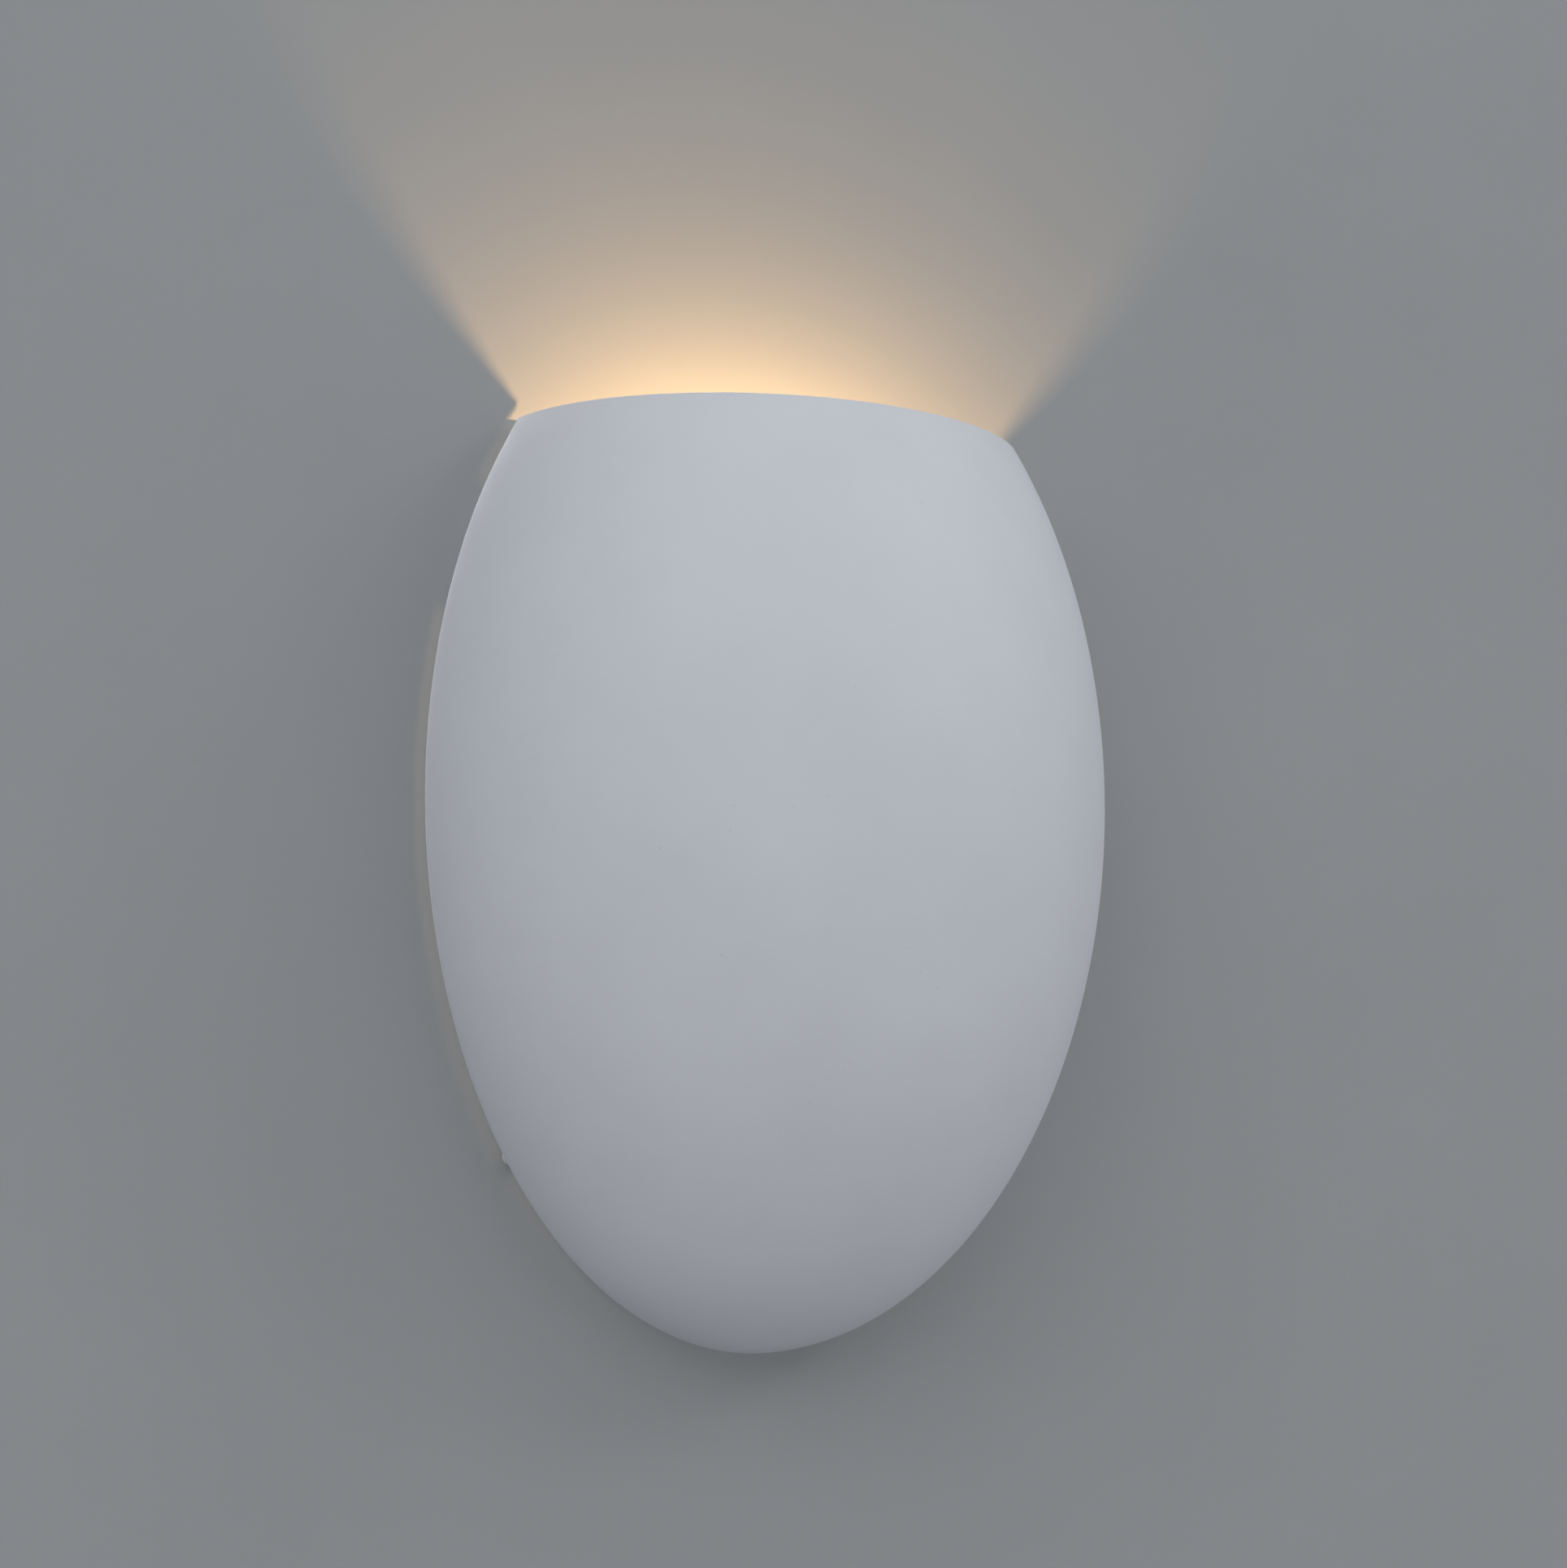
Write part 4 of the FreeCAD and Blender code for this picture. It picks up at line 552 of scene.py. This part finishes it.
def ceramic_shade():
    low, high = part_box("shade_shell")
    across = (high.x - low.x) / 2
    deep = high.y - low.y
    tail = -low.z
    rim = high.z
    shade = half_ellipse("ceramic_shade", across, tail, rim)
    inside = half_ellipse("inner_arc", across - SHADE_WALL, tail - SHADE_WALL, rim)
    select_only(shade, inside)
    bpy.ops.object.join()

    start_shaping(shade)
    pick_points(shade, lambda p: near(p.z, rim))
    bpy.ops.mesh.edge_face_add()
    pick_points(shade, lambda p: near(p.x, 0))
    bpy.ops.mesh.edge_face_add()
    bpy.ops.mesh.select_all(action="SELECT")
    bpy.ops.mesh.edge_face_add()
    rim_radius = across * math.sqrt(1 - (rim / tail) ** 2)
    middle_of_rim = rim_radius - SHADE_WALL / 2
    lean = math.atan(rim * across**2 / tail**2 / rim_radius)
    for radius, outside in ((RIM_ROUND_OUT, True), (RIM_ROUND_IN, False)):
        corner = math.pi / 2 + lean if outside else math.pi / 2 - lean
        pick_points(shade, lambda p: near(p.z, rim) and (p.x > middle_of_rim) == outside)
        bpy.ops.mesh.bevel(
            offset=radius / math.tan(corner / 2),
            segments=RIM_ROUND_SEGMENTS,
            affect="VERTICES",
        )
    bpy.ops.mesh.select_all(action="SELECT")
    bpy.ops.mesh.spin(steps=TURN_STEPS, angle=math.pi, center=(0, 0, 0), axis=(0, 0, 1))
    bpy.ops.mesh.select_all(action="SELECT")
    bpy.ops.mesh.remove_doubles(threshold=SAME_POINT)
    bpy.ops.mesh.normals_make_consistent(inside=False)
    pick_edges(
        shade,
        lambda a, b: near(a.y, 0)
        and near(b.y, 0)
        and min(abs(a.x), abs(b.x)) > SHADE_WALL
        and max(a.z, b.z) < rim - SHADE_WALL,
    )
    bpy.ops.mesh.bevel(offset=BACK_EDGE_ROUND, segments=BACK_EDGE_SEGMENTS, affect="EDGES")
    bpy.ops.mesh.select_all(action="SELECT")
    bpy.ops.transform.resize(value=(1, deep / across, 1), center_override=(0, 0, 0))

    def on_inner_wall(p):
        share = (p.x / (across - SHADE_WALL)) ** 2 + (p.z / (tail - SHADE_WALL)) ** 2
        return share + (p.y / (deep * (1 - SHADE_WALL / across))) ** 2 < INNER_WALL_SLACK

    pick_points(shade, on_inner_wall)
    thinner = (deep - SHADE_WALL) / (deep * (1 - SHADE_WALL / across))
    bpy.ops.transform.resize(value=(1, thinner, 1), center_override=(0, 0, 0))
    bpy.ops.mesh.select_all(action="SELECT")
    bpy.ops.transform.translate(value=(0, high.y, 0))
    bpy.ops.mesh.normals_make_consistent(inside=False)
    stop_shaping()

    for side in (-1, 1):
        combine(shade, shade_lug(side, across, deep, tail, high.y), "UNION")
    for side in (-1, 1):
        x, y, z = insert_place(side)
        mouth, bottom = (x, y + HOLE_OVERSHOOT, z), (x, y - INSERT_LENGTH, z)
        hole = add_rod("insert_hole", INSERT_RADIUS, mouth, bottom)
        combine(shade, hole, "DIFFERENCE")
    smooth(shade)
    dress(shade, "ceramic_white", "shade", "shade_shell")


def insert_place(side):
    """Where the open end of a lug's brass insert is."""
    low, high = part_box("strap_inserts")
    return side * (high.x - INSERT_RADIUS), high.y, (low.z + high.z) / 2


def shade_lug(side, across, deep, tail, back):
    """A lug that grows out of the shade's inner wall."""
    x, y, z = insert_place(side)
    strap_low, strap_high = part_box("hanger_strap")
    inner = abs(x) - LUG_WIDTH / 2
    ends = sorted((side * inner, side * (inner + 2 * LUG_WIDTH)))
    lug = add_box(
        "lug",
        (ends[0], y - LUG_DEPTH, strap_low.z - LUG_MARGIN),
        (ends[1], y, strap_high.z + LUG_MARGIN),
    )

    def at_inner_front(p):
        return near(abs(p.x), inner) and near(p.y, y - LUG_DEPTH)

    start_shaping(lug)
    pick_edges(lug, lambda a, b: at_inner_front(a) and at_inner_front(b))
    bpy.ops.mesh.bevel(offset=LUG_ROUND, segments=LUG_ROUND_SEGMENTS, affect="EDGES")
    stop_shaping()
    limit = add(
        "lug_limit",
        bpy.ops.mesh.primitive_uv_sphere_add,
        segments=LUG_LIMIT_SEGMENTS,
        ring_count=LUG_LIMIT_RINGS,
        radius=1,
        location=(0, back, 0),
        scale=(across - SHADE_WALL / 2, deep - SHADE_WALL / 2, tail - SHADE_WALL / 2),
    )
    combine(lug, limit, "INTERSECT")
    return lug


# The room: a grey painted wall, a pale floor, soft light and the camera

WALL_HALF_WIDTH = 1.2
WALL_TOP = 0.9
FLOOR_DROP = 0.45
FLOOR_FRONT = 2.4
WALL_BACK = 0.0002
GLOW_LOW = 0.070
MOUTH_HALF_WIDTH = 0.066


def wall_paint():
    """Painted plaster, faintly mottled, and see-through from behind."""
    paint = new_finish("wall_paint")
    place = on_piece(paint)
    mottle = clouds(paint, place, 9.0, 5.0)
    tone = tones(paint, mottle, (0.3, (0.300, 0.311, 0.318)), (0.7, (0.312, 0.323, 0.330)))
    skin = node(
        paint,
        "BsdfPrincipled",
        Base_Color=tone,
        Roughness=0.85,
        Specular_IOR_Level=0.2,
        Normal=relief(paint, clouds(paint, place, 500.0, 4.0), 0.0001, 0.3),
    )
    clear = node(paint, "BsdfTransparent")
    behind = node(paint, "NewGeometry").outputs["Backfacing"]
    seen = node(paint, "MixShader", Fac=behind)
    paint.node_tree.links.new(skin.outputs[0], seen.inputs[1])
    paint.node_tree.links.new(clear.outputs[0], seen.inputs[2])
    node(paint, "OutputMaterial", Surface=seen.outputs[0])
    return paint


def floor_paint():
    """A plain pale floor, very faintly mottled."""
    paint = new_finish("floor_paint")
    place = on_piece(paint)
    mottle = clouds(paint, place, 6.0, 3.0)
    tone = tones(paint, mottle, (0.3, (0.54, 0.54, 0.54)), (0.7, (0.58, 0.58, 0.58)))
    return lay_on(paint, Base_Color=tone, Roughness=0.8, Specular_IOR_Level=0.2)


def wall_field(name, paint, low, high):
    """A field of the wall between two corners, each (x, z)."""
    field = add(
        name,
        bpy.ops.mesh.primitive_plane_add,
        size=1,
        location=((low[0] + high[0]) / 2, WALL_BACK, (low[1] + high[1]) / 2),
        rotation=(math.pi / 2, 0, 0),
        scale=(high[0] - low[0], high[1] - low[1], 1),
    )
    wear(field, paint)
    return field


def add_room():
    """The wall, in fields that the lamp's glow does and doesn't reach, and the floor."""
    paint = wall_paint()
    rim = cad_box[1].z
    side = WALL_HALF_WIDTH
    lit = [
        wall_field("wall_above", paint, (-side, rim), (side, WALL_TOP)),
        wall_field("wall_in_mouth", paint, (-MOUTH_HALF_WIDTH, GLOW_LOW), (MOUTH_HALF_WIDTH, rim)),
    ]
    unlit = [
        wall_field("wall_left", paint, (-side, GLOW_LOW), (-MOUTH_HALF_WIDTH, rim)),
        wall_field("wall_right", paint, (MOUTH_HALF_WIDTH, GLOW_LOW), (side, rim)),
        wall_field("wall_below", paint, (-side, -FLOOR_DROP), (side, GLOW_LOW)),
    ]
    floor = add(
        "floor",
        bpy.ops.mesh.primitive_plane_add,
        size=1,
        location=(0, 0, -FLOOR_DROP),
        scale=(4 * WALL_HALF_WIDTH, 2 * FLOOR_FRONT, 1),
    )
    wear(floor, floor_paint())
    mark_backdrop(*lit, *unlit, floor)
    return lit, unlit


FILL_COLOUR = (0.94, 0.965, 1.0)
FILL_FROM_BELOW = 0.16
FILL_FROM_ABOVE = 1.08
SEEN_ROOM = (0.62, 0.64, 0.66)


def add_world():
    """Cool light from all round, stronger from above; the camera and the metal see a pale room."""
    world = bpy.data.worlds.new("room_light")
    bpy.context.scene.world = world
    world.use_nodes = True
    world.node_tree.nodes.clear()
    way = node(world, "TexCoord").outputs["Generated"]
    upward = node(world, "SeparateXYZ", Vector=way).outputs["Z"]
    strength = between(world, upward, FILL_FROM_BELOW, FILL_FROM_ABOVE, -1.0, 1.0)
    light = node(world, "Background", Color=(*FILL_COLOUR, 1.0), Strength=strength)
    seen = node(world, "Background", Color=(*SEEN_ROOM, 1.0), Strength=1.0)
    path = node(world, "LightPath")
    rays = path.outputs["Is Camera Ray"], path.outputs["Is Glossy Ray"]
    mix = node(world, "MixShader", Fac=maths(world, "MAXIMUM", *rays))
    world.node_tree.links.new(light.outputs[0], mix.inputs[1])
    world.node_tree.links.new(seen.outputs[0], mix.inputs[2])
    node(world, "OutputWorld", Surface=mix.outputs[0])


def add_lamp(name, kind, place, power, colour, **settings):
    bpy.ops.object.select_all(action="DESELECT")
    bpy.ops.object.light_add(type=kind, location=place)
    lamp = bpy.context.object
    lamp.name = lamp.data.name = name
    lamp.data.energy = power
    lamp.data.color = colour
    for setting, given in settings.items():
        setattr(lamp.data, setting, given)
    return lamp


def aim(lamp, target):
    way = Vector(target) - lamp.location
    lamp.rotation_mode = "QUATERNION"
    lamp.rotation_quaternion = way.to_track_quat("-Z", "Y")


def only(name, things):
    group = bpy.data.collections.new(name)
    for thing in things:
        group.objects.link(thing)
    return group


DAY_COLOUR = (0.97, 0.985, 1.0)
KEY_PLACE = (4.9, -3.2, 3.6)
KEY_POWER = 48.0
KEY_SIZE = 2.2
LEFT_FILL_PLACE = (-4.2, -3.4, 2.2)
LEFT_FILL_POWER = 52.0
LEFT_FILL_SIZE = 4.0
BACK_FILL_PLACE = (0.2, 1.3, 0.5)
BACK_FILL_COLOUR = (1.0, 1.0, 1.0)
BACK_FILL_POWER = 16.0
BACK_FILL_SIZE = 1.2
GLOW_COLOUR = (1.0, 0.60, 0.25)
GLOW_POWER = 1.8
GLOW_SIZE = 0.009
GLOW_HEIGHTS = (0.012, 0.020, 0.028, 0.036)
SIDE_GLOW_POWER = 0.13
SIDE_GLOW_RADIUS = 0.006
INNER_GLOW_POWER = 0.05
INNER_GLOW_RADIUS = 0.010


def add_disk(name, place, power, colour, size, target):
    """A round soft light that faces a target."""
    disk = add_lamp(name, "AREA", place, power, colour, shape="DISK", size=size)
    aim(disk, target)
    return disk


def add_lights(lit, unlit):
    """Soft light from both sides, the lamp's glow on the wall, and a fill for the back."""
    low, high = cad_box
    centre = (low + high) / 2
    add_disk("key_light", KEY_PLACE, KEY_POWER, DAY_COLOUR, KEY_SIZE, centre)
    add_disk("left_fill", LEFT_FILL_PLACE, LEFT_FILL_POWER, DAY_COLOUR, LEFT_FILL_SIZE, centre)

    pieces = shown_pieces()
    others = [p for p in pieces if "lamp" not in body_of(p)]
    shadows = only("glow_is_shaded_by", others)
    lamp_middle = sum(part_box("lamp_dome"), Vector()) / 2
    lit_walls = only("glow_falls_on", lit)
    for n, height in enumerate(GLOW_HEIGHTS):
        place = Vector((lamp_middle.x, lamp_middle.y, height))
        power = GLOW_POWER / len(GLOW_HEIGHTS)
        to_wall = place + Vector((0, 1, 0))
        glow = add_disk(f"lamp_glow_{n}", place, power, GLOW_COLOUR, GLOW_SIZE, to_wall)
        glow.light_linking.receiver_collection = lit_walls
        glow.light_linking.blocker_collection = shadows
    for name, power, radius, receivers in (
        ("side_glow", SIDE_GLOW_POWER, SIDE_GLOW_RADIUS, unlit),
        ("inner_glow", INNER_GLOW_POWER, INNER_GLOW_RADIUS, others),
    ):
        glow = add_lamp(
            "lamp_" + name, "POINT", lamp_middle, power, GLOW_COLOUR, shadow_soft_size=radius
        )
        glow.light_linking.receiver_collection = only(name + "_falls_on", receivers)
        glow.light_linking.blocker_collection = shadows

    back = add_disk(
        "back_fill", BACK_FILL_PLACE, BACK_FILL_POWER, BACK_FILL_COLOUR, BACK_FILL_SIZE, centre
    )
    back.light_linking.receiver_collection = only("back_fill_falls_on", pieces)
    back.light_linking.blocker_collection = only("back_fill_is_shaded_by", pieces)


PHOTO_HEIGHT_PX = 1932
PHOTO_FOCUS_PX = 5656.8136
SENSOR_WIDTH_MM = 36.0
CAMERA_PLACE = (-0.6163869, -1.0926018, -0.1904984)
CAMERA_YAW = -0.5214
CAMERA_PITCH = 0.1558
CAMERA_ROLL = 0.0122


def add_camera():
    """The camera of the photograph: to the left of the light and a little below it."""
    bpy.ops.object.select_all(action="DESELECT")
    bpy.ops.object.camera_add(location=CAMERA_PLACE)
    camera = bpy.context.object
    camera.name = "photo_camera"
    camera.data.sensor_width = SENSOR_WIDTH_MM
    camera.data.lens = SENSOR_WIDTH_MM * PHOTO_FOCUS_PX / PHOTO_HEIGHT_PX
    yaw, pitch, roll = CAMERA_YAW, CAMERA_PITCH, CAMERA_ROLL
    level_forward = Vector((-math.sin(yaw), math.cos(yaw), 0))
    forward = math.cos(pitch) * level_forward + math.sin(pitch) * Vector((0, 0, 1))
    level = Vector((math.cos(yaw), math.sin(yaw), 0))
    upward = level.cross(forward)
    right = math.cos(roll) * level + math.sin(roll) * upward
    up = math.cos(roll) * upward - math.sin(roll) * level
    turn = Matrix((right, up, -forward)).transposed()
    camera.rotation_mode = "QUATERNION"
    camera.rotation_quaternion = turn.to_quaternion()
    bpy.context.scene.camera = camera


add_camera()
finish_packed_pieces()
ceramic_shade()
for rounded_name, rounded_radius in EDGE_ROUNDS.items():
    round_edges_of(rounded_name, rounded_radius)
add_world()
add_lights(*add_room())
bpy.context.scene.view_settings.view_transform = "Standard"
